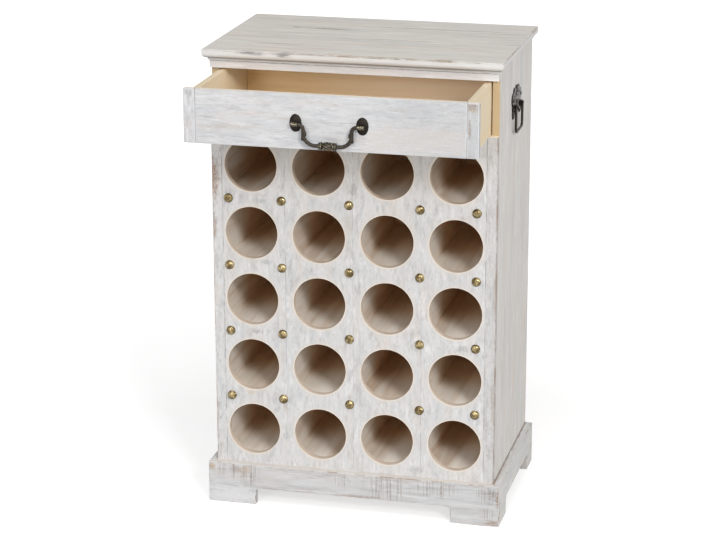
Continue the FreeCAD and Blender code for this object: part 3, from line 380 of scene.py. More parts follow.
def whitewash_pattern(group, vector, stretch, shift, streaks, marks, rub, paint, cool, warm, grime, bare):
    """Thin paint with cool and warm fields, dark grain lines and places rubbed down to the wood."""
    grain = group.grain(vector, stretch, shift)
    loose = group.shifted(vector * (stretch * (0.9, 0.9, 0.9) + (0.1, 0.1, 0.1)), FIELD_WAY, shift)
    field = {name: group.ramp(group.noise(loose + offset, scale, detail, rough), start, full)
             for name, offset, scale, detail, rough, start, full in PAINT_FIELDS}
    colour = group.blend(field["cool"], paint, cool)
    colour = group.blend(field["warm"], colour, warm)
    bright = group.blend(1.0, paint, (1.15, 1.15, 1.16), "MULTIPLY")
    colour = group.blend(field["chalk"] * 0.75, colour, bright)
    streak = group.ramp(grain["Streak"], 0.50, 0.80)
    fibre = group.ramp(grain["Fibre"], 0.52, 0.80)
    lines = field["scuffs"] * field["mottle"] * marks
    for part, share in ((field["smudges"], 0.20), (streak, 0.28), (fibre, 0.28), (field["mottle"], 0.20)):
        lines = lines + streaks * share * part
    worn = grain["Streak"] * 0.5 + group.noise(loose + (9.3, 2.2, 6.1), 24.0, 3.0, 0.6) * 0.5
    limit = 0.74 - rub * 0.30
    rubbed = group.ramp(worn, limit, limit + 0.10, "LINEAR")
    colour = group.blend(rubbed * 0.5, colour, bare)
    return group.blend(lines, colour, grime), grain["Fibre"] * 0.6 + grain["Streak"] * 0.8 - rubbed * 0.25


def bare_wood_pattern(group, vector, stretch, shift, contrast, light, dark):
    """Unpainted wood: broad figure, streaks and fibres between a light and a dark shade."""
    grain = group.grain(vector, stretch, shift)
    colour = light
    widths = (("Figure", 0.42, 0.68, 1.0), ("Streak", 0.5, 0.78, 0.6), ("Fibre", 0.6, 0.8, 0.3))
    for width, start, full, share in widths:
        colour = group.blend(contrast * share * group.ramp(grain[width], start, full), colour, dark)
    return colour, grain["Fibre"] + grain["Streak"]


def cut_wood_pattern(group, vector, stretch, shift, wood):
    """Sawn wood: one shade with slightly darker streaks."""
    dark = group.blend(1.0, wood, (0.82, 0.82, 0.82), "MULTIPLY")
    streak = group.ramp(group.grain(vector, stretch, shift)["Streak"], 0.45, 0.75)
    return (group.blend(streak, wood, dark),)


def cell_wood_pattern(group, vector, shift, front, light, dark, deep_light, deep_dark):
    """Bare wood of the bottle cells: pale behind the front, browner and darker deep inside, which is partly painted
    shade.
    """
    deep = group.ramp(group.along(vector, "Y") - front, CELL_PALE_DEPTH, CELL_BROWN_DEPTH)
    wood = group.use("Bare wood", {
        "Vector": vector, "Stretch": ALONG_Y, "Shift": shift, "Contrast": CELL_CONTRAST,
        "Light": group.blend(deep, light, deep_light), "Dark": group.blend(deep, dark, deep_dark)})
    return wood["Color"], wood["Height"]


def painted_faces_mask(group, normal, both, toward):
    """One where a face looks along the painted axes or toward the painted side, nought on the other faces."""
    along = group.vectors("LENGTH", normal * both)
    return (group.ramp(group.maths("MAXIMUM", along, group.vectors("DOT_PRODUCT", normal, toward)), 0.45, 0.6),)


def facing_masks(group, normal):
    """Masks of the upright faces, which take a painted highlight, and of those that look down, which take painted
    shade.
    """
    rise = group.along(normal, "Z")
    return 1.0 - group.ramp(abs(rise), 0.5, 0.9), group.ramp(rise * -1.0, 0.55, 0.95)


def worn_spot_mask(group, vector, stretch, centre, size, ragged):
    """A ragged spot at a place, of a size along each axis, broken up along the grain."""
    drawn = vector * group.vectors("POWER", stretch, (0.5, 0.5, 0.5))
    rough = group.noise(drawn, 210.0, 4.0, 0.7) - 0.5
    reach = group.vectors("LENGTH", (vector - centre) / size) + rough * ragged
    breaks = group.ramp(group.noise(drawn, 480.0, 3.0, 0.6), 0.36, 0.58)
    return ((1.0 - group.ramp(reach, 0.35, 1.1)) * (breaks * 0.6 + 0.4),)


def broken_line_mask(group, vector, reach, width):
    """A thin upright line at a reach from the cabinet's middle, on both sides, broken along its length."""
    away = abs(abs(group.along(vector, "X")) - reach) / width
    broken = group.ramp(group.noise(vector, 38.0, 3.0, 0.6), 0.34, 0.62)
    return ((1.0 - group.ramp(away, 0.4, 1.0)) * broken,)


def edge_wear_mask(group, vector, share):
    """Runs along an edge where the wood shows through; a larger share shows more."""
    return (group.ramp(group.noise(vector, 34.0, 3.0, 0.65) + share * 0.4, 0.70, 0.84),)


def saw_marks_mask(group, vector, reach):
    """Short upright scores left by a saw, inside the reach of a mask."""
    scores = group.noise(vector * (1.0, 1.0, 0.015), 640.0, 1.0)
    ends = group.noise(vector * (5.0, 1.0, 1.0), 55.0)
    return (group.ramp(scores, 0.50, 0.60) * group.ramp(ends, 0.26, 0.50) * reach,)


def patina_pattern(group, vector, scale, rubbed, roughness, dark, light):
    """Metal that is dark with patina and lighter in patches where it is rubbed, spread by noise, with a fine grit.
    """
    cloud = group.noise(vector, scale, 4.0, 0.6) + rubbed
    grit = group.noise(vector, 1500.0)
    return group.blend(group.ramp(cloud, 0.62, 0.82), dark, light), roughness + (grit - 0.5) * 0.2, grit


# Node groups: name, what fills it, vector inputs, value inputs, colour inputs, outputs.
NODE_GROUPS = (
    ("Wood grain", grain_pattern, ("Vector", "Stretch"), ("Shift",), (), ("Fibre", "Streak", "Figure")),
    ("Whitewash", whitewash_pattern, ("Vector", "Stretch"), ("Shift", "Streaks", "Marks", "Rub"),
     ("Paint", "Cool", "Warm", "Grime", "Bare"), ("Color", "Height")),
    ("Bare wood", bare_wood_pattern, ("Vector", "Stretch"), ("Shift", "Contrast"), ("Light", "Dark"),
     ("Color", "Height")),
    ("Cut wood", cut_wood_pattern, ("Vector", "Stretch"), ("Shift",), ("Wood",), ("Color",)),
    ("Cell wood", cell_wood_pattern, ("Vector",), ("Shift", "Front"),
     ("Light", "Dark", "Deep light", "Deep dark"), ("Color", "Height")),
    ("Painted faces", painted_faces_mask, ("Normal", "Both", "Toward"), (), (), ("Mask",)),
    ("Facing", facing_masks, ("Normal",), (), (), ("Upright", "Under")),
    ("Worn spot", worn_spot_mask, ("Vector", "Stretch", "Centre", "Size"), ("Ragged",), (), ("Mask",)),
    ("Broken line", broken_line_mask, ("Vector",), ("Reach", "Width"), (), ("Mask",)),
    ("Edge wear", edge_wear_mask, ("Vector",), ("Share",), (), ("Mask",)),
    ("Saw marks", saw_marks_mask, ("Vector",), ("Reach",), (), ("Mask",)),
    ("Patina", patina_pattern, ("Vector",), ("Scale", "Rubbed", "Roughness"), ("Dark", "Light"),
     ("Color", "Roughness", "Height")),
)


def build_node_groups():
    """Make the node groups in order; the output called Color is a colour and any other a value."""
    for name, fill, vectors, values, colours, outputs in NODE_GROUPS:
        group = NodeRecipe(bpy.data.node_groups.new(name, "ShaderNodeTree"))
        inputs = (("Vector", vectors), ("Float", values), ("Color", colours))
        sockets = [(socket, "INPUT", kind) for kind, names in inputs for socket in names]
        sockets += [(socket, "OUTPUT", "Color" if socket == "Color" else "Float") for socket in outputs]
        for socket, end, kind in sockets:
            group.tree.interface.new_socket(socket, in_out=end, socket_type="NodeSocket" + kind)
        given = group.tree.nodes.new("NodeGroupInput").outputs
        result = group.tree.nodes.new("NodeGroupOutput").inputs
        made = fill(group, *(Value(group, given[socket]) for socket in (*vectors, *values, *colours)))
        for socket, source in zip(outputs, made):
            group.link(source, result[socket])


class Finish(NodeRecipe):
    """A material in the making: its coordinates, its grain and the colour so far."""

    def __init__(self, name, roughness, stretch=ALONG_Z, metallic=0.0):
        self.material = bpy.data.materials.new(name)
        self.material.use_nodes = True
        super().__init__(self.material.node_tree)
        self.shader = self.tree.nodes["Principled BSDF"]
        self.shader.inputs["Roughness"].default_value = roughness
        self.shader.inputs["Metallic"].default_value = metallic
        coordinates = self.tree.nodes.new("ShaderNodeTexCoord").outputs
        self.place = Value(self, coordinates["Object"])
        self.normal = coordinates["Normal"]
        self.stretch = stretch
        self.shift = self.add("ShaderNodeAttribute", attribute_type="OBJECT",
                              attribute_name="grain_shift").outputs["Fac"]
        self.colour = None

    def grained(self, name, inputs):
        """A group that takes the finish's own grain, placed with its other inputs."""
        return self.use(name, {"Vector": self.place, "Stretch": self.stretch, "Shift": self.shift, **inputs})

    def whitewash(self, streaks, rub, tone, marks=0.3):
        """The paint's colour and height."""
        wood = wood_shades()
        shades = {name.title(): tuple(value * part for value, part in zip(getattr(wood, name), tone))
                  for name in ("paint", "cool", "warm", "grime", "bare")}
        return self.grained("Whitewash", {"Streaks": streaks, "Marks": marks, "Rub": rub, **shades})

    def faces(self, both, toward=NO_FACE):
        return self.use("Painted faces", {"Normal": self.normal, "Both": both, "Toward": toward})["Mask"]

    def spot(self, centre, extent, ragged=RAGGED_SPOT):
        return self.use("Worn spot", {"Vector": self.place, "Stretch": self.stretch, "Centre": centre,
                                      "Size": extent, "Ragged": ragged})["Mask"]

    def line(self, reach, width):
        return self.use("Broken line", {"Vector": self.place, "Reach": reach, "Width": width})["Mask"]

    def over(self, mask, strength, colour):
        """Lay a colour over the colour so far."""
        self.colour = self.blend(mask * strength, self.colour, colour)

    def finish(self, height, strength, distance=PAINT_BUMP_HEIGHT):
        """Join the colour and the bump to the shader, and give the material."""
        self.link(self.colour, self.shader.inputs["Base Color"])
        bump = self.add("ShaderNodeBump", {"Height": height, "Strength": strength, "Distance": distance})
        self.link(bump.outputs[0], self.shader.inputs["Normal"])
        return self.material


def wood_shades():
    return bpy.context.scene.cabinet_wood


def painted(name, stretch, streaks, rub, both=ALL_FACES, toward=NO_FACE, outward=False, cut="rim", inside=None,
            tone=PLAIN_TONE, marks=0.3, fresh=0.0, lines=(), spots=(), shadows=(), saw=()):
    """Whitewashed wood; the faces that take no paint show the cut wood, or what `inside` makes of them."""
    wood = wood_shades()
    made = Finish(name, PAINT_ROUGHNESS, stretch)
    wash = made.whitewash(streaks, rub, tone, marks)
    made.colour = wash["Color"]
    # Painted highlight: the upright faces turn lighter. Painted shade on the faces that look down follows below.
    if fresh:
        facing = made.use("Facing", {"Normal": made.normal})
        made.over(facing["Upright"], fresh, wood.fresh)
    for reach, width, tint, strength in lines:
        made.over(made.line(reach, width), strength, getattr(wood, tint))
    for centre, extent, tint, strength in spots:
        made.over(made.spot(centre, extent), strength, getattr(wood, tint))
    for centre, extent, tint, strength in shadows:
        made.over(made.spot(centre, extent, SOFT_SPOT), strength, darker(getattr(wood, tint), SHADOW_SHARE))
    # Painted shade, in the grime colour, on the faces that look down.
    if fresh:
        made.over(facing["Under"], UNDER_SHADE, wood.grime)
    if saw:
        score_with_saw(made, saw, wood)
    raw = inside(made, wood) if inside else made.grained("Cut wood", {"Wood": getattr(wood, cut)})["Color"]
    if outward:
        toward = made.vectors("NORMALIZE", made.place * END_FACES)
    made.colour = made.blend(made.faces(both, toward), raw, made.colour)
    return made.finish(wash["Height"], PAINT_BUMP)


def score_with_saw(made, bunches, wood):
    """Dark upright scores in bunches along a board."""
    reach = None
    for centre, extent in bunches:
        mask = made.spot(centre, extent, SAW_SPOT)
        reach = mask if reach is None else made.maths("MAXIMUM", reach, mask)
    marks = made.use("Saw marks", {"Vector": made.place, "Reach": reach})["Mask"]
    made.over(marks, SAW_STRENGTH, darker(wood.bare, SHADOW_SHARE))


def panel_inside(made, wood):
    """Cell wood on a side panel's inner face, yellower wood on its cut front edge."""
    return made.blend(made.faces(FRONT_AND_BACK), cell_colour(made, wood)["Color"], wood.raw)


def rim_of_holes(made, wood):
    """Tint the paint round the bottle holes, sand their rims cream, and give the colour inside them."""
    low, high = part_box(PLANKS[1])
    pitch = high.x - low.x
    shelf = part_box(SHELVES[0])
    base = (shelf[0].z + shelf[1].z) / 2 - pitch
    offsets = []
    for axis, start in (("X", low.x), ("Z", base)):
        pitches = (made.along(made.place, axis) - (start - 8 * pitch)) / pitch
        offsets.append((made.maths("FRACT", pitches) - 0.5) * pitch)
    across, up = offsets
    past_edge = made.maths("SQRT", across * across + up * up) - HOLE_RADIUS
    wander = made.noise(made.place, 45.0) * HOLE_TINT_WANDER
    made.over(1.0 - made.ramp(past_edge - wander, *HOLE_TINT), HOLE_TINT_STRENGTH, wood.warm)
    seam = 1.0 - made.ramp(pitch / 2 - abs(across), *PLANK_SEAM)
    broken = made.ramp(made.noise(made.place, 30.0, 3.0, 0.6), 0.38, 0.62)
    made.over(seam * broken, PLANK_SEAM_STRENGTH, wood.grime)
    sanded = 1.0 - made.ramp(past_edge, wood.rim_width * RIM_FULL_SHARE, wood.rim_width)
    made.over(sanded, RIM_STRENGTH, wood.rim)
    # Inside the hole the cream lip gives way to the darker hole wall, which is partly painted shade.
    deep = made.ramp(made.along(made.place, "Y") - low.y, *HOLE_LIP)
    return made.blend(deep, wood.rim, wood.hole)


def rubbed_edge(name, stretch, bare_share, tone=PLAIN_TONE):
    """Eased edges: cut wood that shows through in runs, with paint left between."""
    made = Finish(name, EDGE_ROUGHNESS, stretch)
    wash = made.whitewash(streaks=0.5, rub=0.5, tone=tone)
    runs = made.use("Edge wear", {"Vector": made.place, "Share": bare_share})["Mask"]
    made.colour = made.blend(runs, wash["Color"], wood_shades().bare)
    return made.finish(wash["Height"], PAINT_BUMP)


def shade_pair(name):
    """A wood's shade and the shade of its darker grain."""
    return getattr(wood_shades(), name), getattr(wood_shades(), name + "_dark")


def bare_wood(name, stretch, shades, contrast=0.7, right=None):
    """Unpainted wood with soft streaks; where more shades are named, it turns to them toward the right, which paints
    light on that side.
    """
    made = Finish(name, WOOD_ROUGHNESS, stretch)
    light, dark = shade_pair(shades)
    if right:
        across = made.ramp(made.along(made.place, "X"), *DRAWER_BACK_LIGHT_TURN)
        light, dark = (made.blend(across, *pair) for pair in zip((light, dark), shade_pair(right)))
    wood = made.grained("Bare wood", {"Contrast": contrast, "Light": light, "Dark": dark})
    made.colour = wood["Color"]
    return made.finish(wood["Height"], WOOD_BUMP)


def cell_colour(made, wood):
    """The cells' wood on a finish, measured from the front edges of the shelves."""
    return made.use("Cell wood", {
        "Vector": made.place, "Shift": made.shift, "Front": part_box(SHELVES[0])[0].y, "Light": wood.cell,
        "Dark": wood.cell_dark, "Deep light": wood.deep, "Deep dark": wood.deep_dark})


def cell_wood():
    made = Finish("Cell wood", WOOD_ROUGHNESS)
    inside = cell_colour(made, wood_shades())
    made.colour = inside["Color"]
    return made.finish(inside["Height"], WOOD_BUMP)


def rubbed_metal(name, dark, light, roughness, rubbed, scale):
    """Patinated metal, brighter where it is rubbed."""
    made = Finish(name, roughness, metallic=1.0)
    patina = made.use("Patina", {"Vector": made.place, "Scale": scale, "Rubbed": rubbed, "Roughness": roughness,
                                 "Dark": dark, "Light": light})
    made.colour = patina["Color"]
    made.link(patina["Roughness"], made.shader.inputs["Roughness"])
    return made.finish(patina["Height"], METAL_BUMP, METAL_BUMP_HEIGHT)


def face_marks(y, rows):
    """Marks on a face that looks along Y: across, height, half width, half height, then shade and strength."""
    return tuple(((x, y, z), (wide, MARK_DEPTH, tall), *rest) for x, z, wide, tall, *rest in rows)


def modify(node, name, kind, **settings):
    modifier = node.modifiers.new(name, kind)
    for setting, value in settings.items():
        setattr(modifier, setting, value)


def dress(names, material, edge=None, ease=0.0):
    """Give nodes their material; where an edge finish is given, ease their edges and put it there."""
    for name in names:
        node = NODES[name]
        node["grain_shift"] = GRAIN_STEP * (sorted(NODES).index(name) + 1)
        node.data.materials.clear()
        node.data.materials.append(material)
        for face in node.data.polygons:
            face.material_index = 0
        if edge is None:
            continue
        node.data.materials.append(edge)
        modify(node, "Joined corners", "WELD", merge_threshold=JOINED_CORNERS)
        modify(node, "Flat faces", "DECIMATE", decimate_type="DISSOLVE", angle_limit=FLAT_ANGLE)
        modify(node, "Eased edges", "BEVEL", width=ease, segments=2, limit_method="ANGLE", angle_limit=EDGE_ANGLE,
               material=1, use_clamp_overlap=False)
        modify(node, "Even shading", "WEIGHTED_NORMAL", keep_sharp=False)


def new_piece(name, build, material, body):
    """A mesh piece made by a function that fills a bmesh; it rides on a body."""
    mesh = bpy.data.meshes.new(name)
    work = bmesh.new()
    build(work)
    bmesh.ops.recalc_face_normals(work, faces=work.faces)
    work.to_mesh(mesh)
    work.free()
    for face in mesh.polygons:
        face.use_smooth = True
    mesh.materials.append(material)
    piece = bpy.data.objects.new(name, mesh)
    bpy.context.scene.collection.objects.link(piece)
    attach(piece, body)


def add_bead(work, centre, radii, turn=0.0, axis="X", rings=12, around=18):
    """A rounded bead of given half sizes, turned about its own middle."""
    place = Matrix.Translation(centre) @ Matrix.Rotation(turn, 4, axis) @ Matrix.Diagonal((*radii, 1.0))
    bmesh.ops.create_uvsphere(work, u_segments=around, v_segments=rings, radius=1.0, matrix=place)


def add_tube(work, spine, bar_radius, section=8):
    """A round bar along a row of points, closed at both ends."""
    angles = [math.tau * part / section for part in range(section)]
    spokes = [Vector((bar_radius * math.cos(angle), bar_radius * math.sin(angle), 0)) for angle in angles]
    loops = []
    for number, point in enumerate(spine):
        along = (spine[min(number + 1, len(spine) - 1)] - spine[max(number - 1, 0)]).normalized()
        turn = Vector((0, 0, 1)).rotation_difference(along)
        loops.append([work.verts.new(point + turn @ spoke) for spoke in spokes])
    for first, second in zip(loops, loops[1:]):
        for part in range(section):
            after = (part + 1) % section
            work.faces.new((first[part], first[after], second[after], second[part]))
    work.faces.new(list(reversed(loops[0])))
    work.faces.new(loops[-1])


def add_ring(work, centre, axis, ring_radius, bar_radius, around=20, section=8):
    """A round ring about an axis."""
    turn = Vector((0, 0, 1)).rotation_difference(Vector(axis)).to_matrix().to_4x4()
    loops = []
    for step in range(around):
        angle = math.tau * step / around
        loop = []
        for part in range(section):
            tilt = math.tau * part / section
            reach = ring_radius + bar_radius * math.cos(tilt)
            spot = Vector((reach * math.cos(angle), reach * math.sin(angle), bar_radius * math.sin(tilt), 1.0))
            loop.append(work.verts.new(Vector(centre) + (turn @ spot).to_3d()))
        loops.append(loop)
    for first, second in zip(loops, loops[1:] + loops[:1]):
        for part in range(section):
            after = (part + 1) % section
            work.faces.new((first[part], second[part], second[after], first[after]))


class CABINET_OT_painted_boards(bpy.types.Operator):
    """Whitewash the stiles, the bottle front, the side panels, the frieze rail and the trim"""
    bl_idname = "cabinet.painted_boards"
    bl_label = "Paint the carcass"

    def execute(self, context):
        dress(PLANKS, painted("Bottle front whitewash", SHORT_Z, streaks=1.2, rub=0.2, both=FRONT_AND_BACK,
                              inside=rim_of_holes, marks=0.25,
                              spots=face_marks(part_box(PLANKS[0])[0].y, PLANK_MARKS)))
        low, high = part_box("right_stile")
        seam, edge = low.x, high.x
        stile_marks = face_marks(low.y, (
            (-edge, 0.580, 0.015, 0.046, "bare", 1.0), (-edge, 0.495, 0.008, 0.026, "bare", 0.8),
            (-edge, 0.160, 0.005, 0.030, "bare", 0.4), (edge - 0.003, 0.22, 0.004, 0.060, "bare", 0.45),
            (seam + 0.005, 0.17, 0.004, 0.030, "grime", 0.35), (edge - 0.002, 0.40, 0.004, 0.050, "bare", 0.3)))
        dress(STILES, painted("Stile whitewash", SHORT_Z, streaks=1.4, rub=0.42, both=UPRIGHT_FACES, marks=0.6,
                              lines=((seam, 0.0016, "grime", 0.95), (edge, 0.0018, "bare", 0.85)),
                              spots=stile_marks,
                              shadows=face_marks(low.y, ((edge, 0.36, 0.06, 0.6, "warm", 0.25),))))
        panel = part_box("right_side_panel")[1]
        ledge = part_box("plinth_right")[1].z
        panel_ends = tuple(((way * panel.x, 0.0, height), (MARK_DEPTH, 2.0, 0.0030), tint, 0.8)
                           for way in (-1, 1) for height, tint in ((panel.z, "grime"), (ledge, "bare")))
        dress(["left_side_panel", "right_side_panel"],
              painted("Side whitewash", ALONG_Z, streaks=0.6, rub=0.16, both=NO_FACE, outward=True,
                      inside=panel_inside, tone=GREY_TONE, shadows=panel_ends))
        # The trims take a painted highlight on their upright faces and painted shade on their undersides.
        dress(["top_trim_left", "top_trim_right"],
              painted("Side trim whitewash", ALONG_Y, streaks=0.8, rub=0.4, tone=GREY_TONE, fresh=0.4))
        dress(["top_trim_front"], painted("Trim whitewash", ALONG_X, streaks=0.9, rub=0.4, fresh=0.4))
        low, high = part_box("frieze_rail")
        under_trim = face_marks(low.y, ((0.0, high.z, 2.0, 0.0022, "grime", 0.85),))
        # The frieze's tint lifts it against the shade under the top: painted light.
        dress(["frieze_rail"], painted("Frieze whitewash", ALONG_X, streaks=0.7, rub=0.2, both=UPRIGHT_FACES,
                                       tone=FRIEZE_TONE, shadows=under_trim))
        return {"FINISHED"}


class CABINET_OT_top(bpy.types.Operator):
    """Whitewash the top board, with its brown streaks and its worn nose"""
    bl_idname = "cabinet.top_board"
    bl_label = "Paint the top"

    def execute(self, context):
        low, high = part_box("top_board")
        nose_z = high.z - 0.003
        streaks = tuple(((x, y, high.z), (long, wide, TOP_STREAK_DEPTH), tint, strength)
                        for x, y, long, wide, tint, strength in TOP_STREAKS)
        worn_edges = (((0.0, low.y + 0.001, high.z - 0.0016), (0.5, 0.003, 0.0016), "grime", 0.55),
                      ((-0.170, low.y, nose_z), (0.026, 0.012, 0.004), "grime", 0.8),
                      ((-0.113, low.y, nose_z), (0.018, 0.012, 0.005), "grime", 0.95),
                      ((0.155, low.y, nose_z + 0.002), (0.020, 0.012, 0.003), "olive", 0.8),
                      ((0.060, low.y + 0.002, high.z - 0.001), (0.190, 0.0035, 0.002), "olive", 0.8),
                      ((high.x, 0.0, high.z - 0.001), (0.0035, 0.080, 0.002), "bare", 0.7),
                      ((high.x, 0.2, high.z - 0.001), (0.005, 0.030, 0.004), "bare", 0.6),
                      ((high.x - 0.001, 0.08, high.z - 0.0016), (0.003, 0.3, 0.0016), "grime", 0.5))
        # The top takes a painted highlight on its upright faces and painted shade on its undersides.
        # The top's tint also lifts its brightness: painted light.
        dress(["top_board"], painted("Top whitewash", TOP_GRAIN, streaks=0.8, rub=0.36, tone=TOP_TONE, fresh=0.6,
                                     spots=streaks + worn_edges))
        return {"FINISHED"}


class CABINET_OT_plinth(bpy.types.Operator):
    """Whitewash the plinth, with its saw marks and worn corners"""
    bl_idname = "cabinet.plinth"
    bl_label = "Paint the plinth"

    def execute(self, context):
        wood = wood_shades()
        low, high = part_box("plinth_front")
        worn = face_marks(low.y, (
            (low.x + 0.004, 0.064, 0.008, 0.008, "bare", 0.8), (-0.207, 0.063, 0.012, 0.008, "bare", 0.55),
            (high.x - 0.010, 0.006, 0.020, 0.007, "bare", 0.8),
            (high.x - 0.016, 0.056, 0.020, 0.014, "grime", 0.4),
            (high.x - 0.001, 0.050, 0.0045, 0.022, "bare", 0.9), (low.x + 0.006, 0.066, 0.010, 0.006, "raw", 0.6),
            (-0.192, 0.062, 0.012, 0.009, "raw", 0.5), (-0.215, 0.016, 0.070, 0.024, "fresh", 0.8),
            (-0.060, 0.050, 0.090, 0.010, "cool", 0.6), (0.0, high.z, 0.260, 0.010, "bare", 0.3),
            (-0.08, 0.031, 0.110, 0.002, "bare", 0.7), (0.02, 0.033, 0.050, 0.003, "bare", 0.6)))
        dress(["plinth_front"], painted("Plinth front whitewash", ALONG_X, streaks=1.2, rub=0.34,
                                        both=UPRIGHT_FACES, cut="warm", tone=PLINTH_TONE, spots=worn,
                                        saw=face_marks(low.y, SAW_BUNCHES)),
              rubbed_edge("Rubbed plinth front edges", ALONG_X, 0.6), wood.ease)
        side_worn = (((0.25, low.y + 0.004, 0.03), (0.02, 0.012, 0.030), "bare", 0.5),
                     ((0.25, 0.225, 0.035), (0.02, 0.010, 0.012), "bare", 0.5))
        side_line = ((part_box("right_side_panel")[1].x, 0.004, "bare", 0.9),)
        dress(["plinth_left", "plinth_right"],
              painted("Plinth side whitewash", ALONG_Y, streaks=0.4, rub=0.2, tone=SIDE_PLINTH_TONE,
                      lines=side_line, spots=side_worn),
              rubbed_edge("Rubbed plinth side edges", ALONG_Y, 0.5), wood.ease)
        dress(["plinth_back"], bare_wood("Plinth back wood", ALONG_X, "cell"))
        dress(BLOCKS, bare_wood("Corner block wood", ALONG_Z, "cell"))
        return {"FINISHED"}


class CABINET_OT_inside(bpy.types.Operator):
    """Give the bottle cells, the deck and the back their bare wood"""
    bl_idname = "cabinet.inside"
    bl_label = "Finish the inside"

    def execute(self, context):
        dress(SHELVES + DIVIDERS + ["bottom_board", "drawer_deck"], cell_wood())
        dress(["back_panel"], bare_wood("Back panel wood", ALONG_Z, "deep"))
        dress(["left_drawer_kicker", "right_drawer_kicker"], bare_wood("Kicker wood", ALONG_Y, "box"))
        return {"FINISHED"}


class CABINET_OT_drawer(bpy.types.Operator):
    """Whitewash the drawer's front and strips, and finish its box"""
    bl_idname = "cabinet.drawer"
    bl_label = "Finish the drawer"

    def execute(self, context):
        wood = wood_shades()
        low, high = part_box("drawer_front_panel")
        # A dark line along the groove beside each end strip: painted shade in the groove.
        groove = ((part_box("drawer_right_strip")[0].x, 0.0016, "grime", 0.9),)
        panel_marks = face_marks(low.y, (
            (-0.103, 0.7425, 0.010, 0.005, "grime", 0.25), (0.155, 0.730, 0.014, 0.008, "grime", 0.22),
            (-0.180, 0.708, 0.020, 0.006, "grime", 0.2), (0.150, 0.700, 0.130, 0.030, "warm", 0.8)))
        far_end = face_marks(low.y, ((high.x, 0.720, 0.200, 0.120, "cool", 0.34),))
        dress(["drawer_front_panel"],
              painted("Drawer whitewash", SHORT_X, streaks=1.1, rub=0.15, both=END_FACES,
                      toward=TOWARD_FRONT, tone=COOL_TONE, lines=groove, spots=panel_marks, shadows=far_end),
              rubbed_edge("Rubbed drawer edges", ALONG_X, 0.05, COOL_TONE), wood.groove_ease)
        strip_marks = face_marks(low.y, (
            (0.2330, 0.7100, 0.020, 0.060, "cool", 0.6), (0.2325, 0.7590, 0.016, 0.0100, "bare", 1.0),
            (0.2335, 0.7530, 0.012, 0.0060, "raw", 0.4), (0.2262, 0.7230, 0.0026, 0.016, "bare", 1.0)))
        strip_shade = face_marks(low.y, ((0.2330, 0.720, 0.060, 0.120, "cool", 0.40),))
        dress(["drawer_left_strip", "drawer_right_strip"],
              painted("Strip whitewash", SHORT_Z, streaks=1.7, rub=0.35, both=END_FACES,
                      toward=TOWARD_FRONT, tone=COOL_TONE, lines=groove, spots=strip_marks, shadows=strip_shade),
              rubbed_edge("Rubbed strip edges", ALONG_Z, 0.3, COOL_TONE), wood.groove_ease)
        side_wood = bare_wood("Drawer side wood", ALONG_Y, "box", 0.35)
        dress(["drawer_left_side", "drawer_right_side"], side_wood, side_wood, wood.ease)
        # The drawer's back turns paler toward its right: painted light.
        back_wood = bare_wood("Drawer back wood", ALONG_X, "drawer_back", 0.6, "drawer_pale")
        dress(["drawer_back"], back_wood, back_wood, wood.ease)
        dress(["drawer_bottom"], bare_wood("Drawer bottom wood", ALONG_X, "drawer_pale", 0.6))
        return {"FINISHED"}


class CABINET_OT_drawer_handle(bpy.types.Operator):
    """Finish the drawer's handle and add the reeds round the barrel, the rings beside it and the leaves of its bail
    """
    bl_idname = "cabinet.drawer_handle"
    bl_label = "Finish the drawer handle"

    def execute(self, context):
        metal = context.scene.cabinet_metal
        # Both bronzes lighten in patches toward the rubbed shade: wear that also paints in highlights. The rubbed
        # one dresses the posts, reeds and rings.
        bronze = rubbed_metal("Dark bronze", metal.bronze, metal.bronze_rub_and_highlight, roughness=0.36, rubbed=0.03,
                              scale=320.0)
        rubbed = rubbed_metal("Rubbed bronze", metal.bronze, metal.bronze_rub_and_highlight, roughness=0.32, rubbed=0.16,
                              scale=700.0)
        dress(["drawer_bail"], bronze)
        dress(["left_rosette", "right_rosette"],
              rubbed_metal("Rosette bronze", darker(metal.bronze, 0.55), metal.bronze, roughness=0.5, rubbed=0.04,
                           scale=900.0))
        dress(["left_handle_post", "right_handle_post"], rubbed)
        low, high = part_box("drawer_bail")
        axis_y = (low.y + high.y) / 2
        barrel_radius = (high.y - low.y) / 2
        bar_z = low.z + barrel_radius
        leg = (high.x - low.x) / 2 - LEG_INSET
        reeds = metal.reeds

        def reeded(work):
            for number in range(reeds):
                spine = []
                for step in range(REED_STEPS + 1):
                    along = -REED_REACH + 2 * REED_REACH * step / REED_STEPS
                    swell = barrel_radius * math.sqrt(1.0 - BARREL_ROUNDING * along * along)
                    angle = math.tau * number / reeds + REED_SLANT * along
                    spine.append(Vector((along * BARREL_HALF, axis_y + swell * math.cos(angle),
                                         bar_z + swell * math.sin(angle))))
                add_tube(work, spine, REED_RADIUS)

        def leaves(work):
            for side in (-1, 1):
                for out, up, radii, turn in BAIL_LEAVES:
                    add_bead(work, (side * (leg + out), axis_y, bar_z + up), radii, side * turn, "Y")

        def rings(work):
            for side in (-1, 1):
                for reach, swell in BAIL_RINGS:
                    add_ring(work, (side * reach, axis_y, bar_z), (1, 0, 0), swell, RING_BAR)

        new_piece("bail_barrel_reeds", reeded, rubbed, "drawer_handle")
        new_piece("bail_rings", rings, rubbed, "drawer_handle")
        new_piece("bail_leaves", leaves, bronze, "drawer_handle")
        return {"FINISHED"}


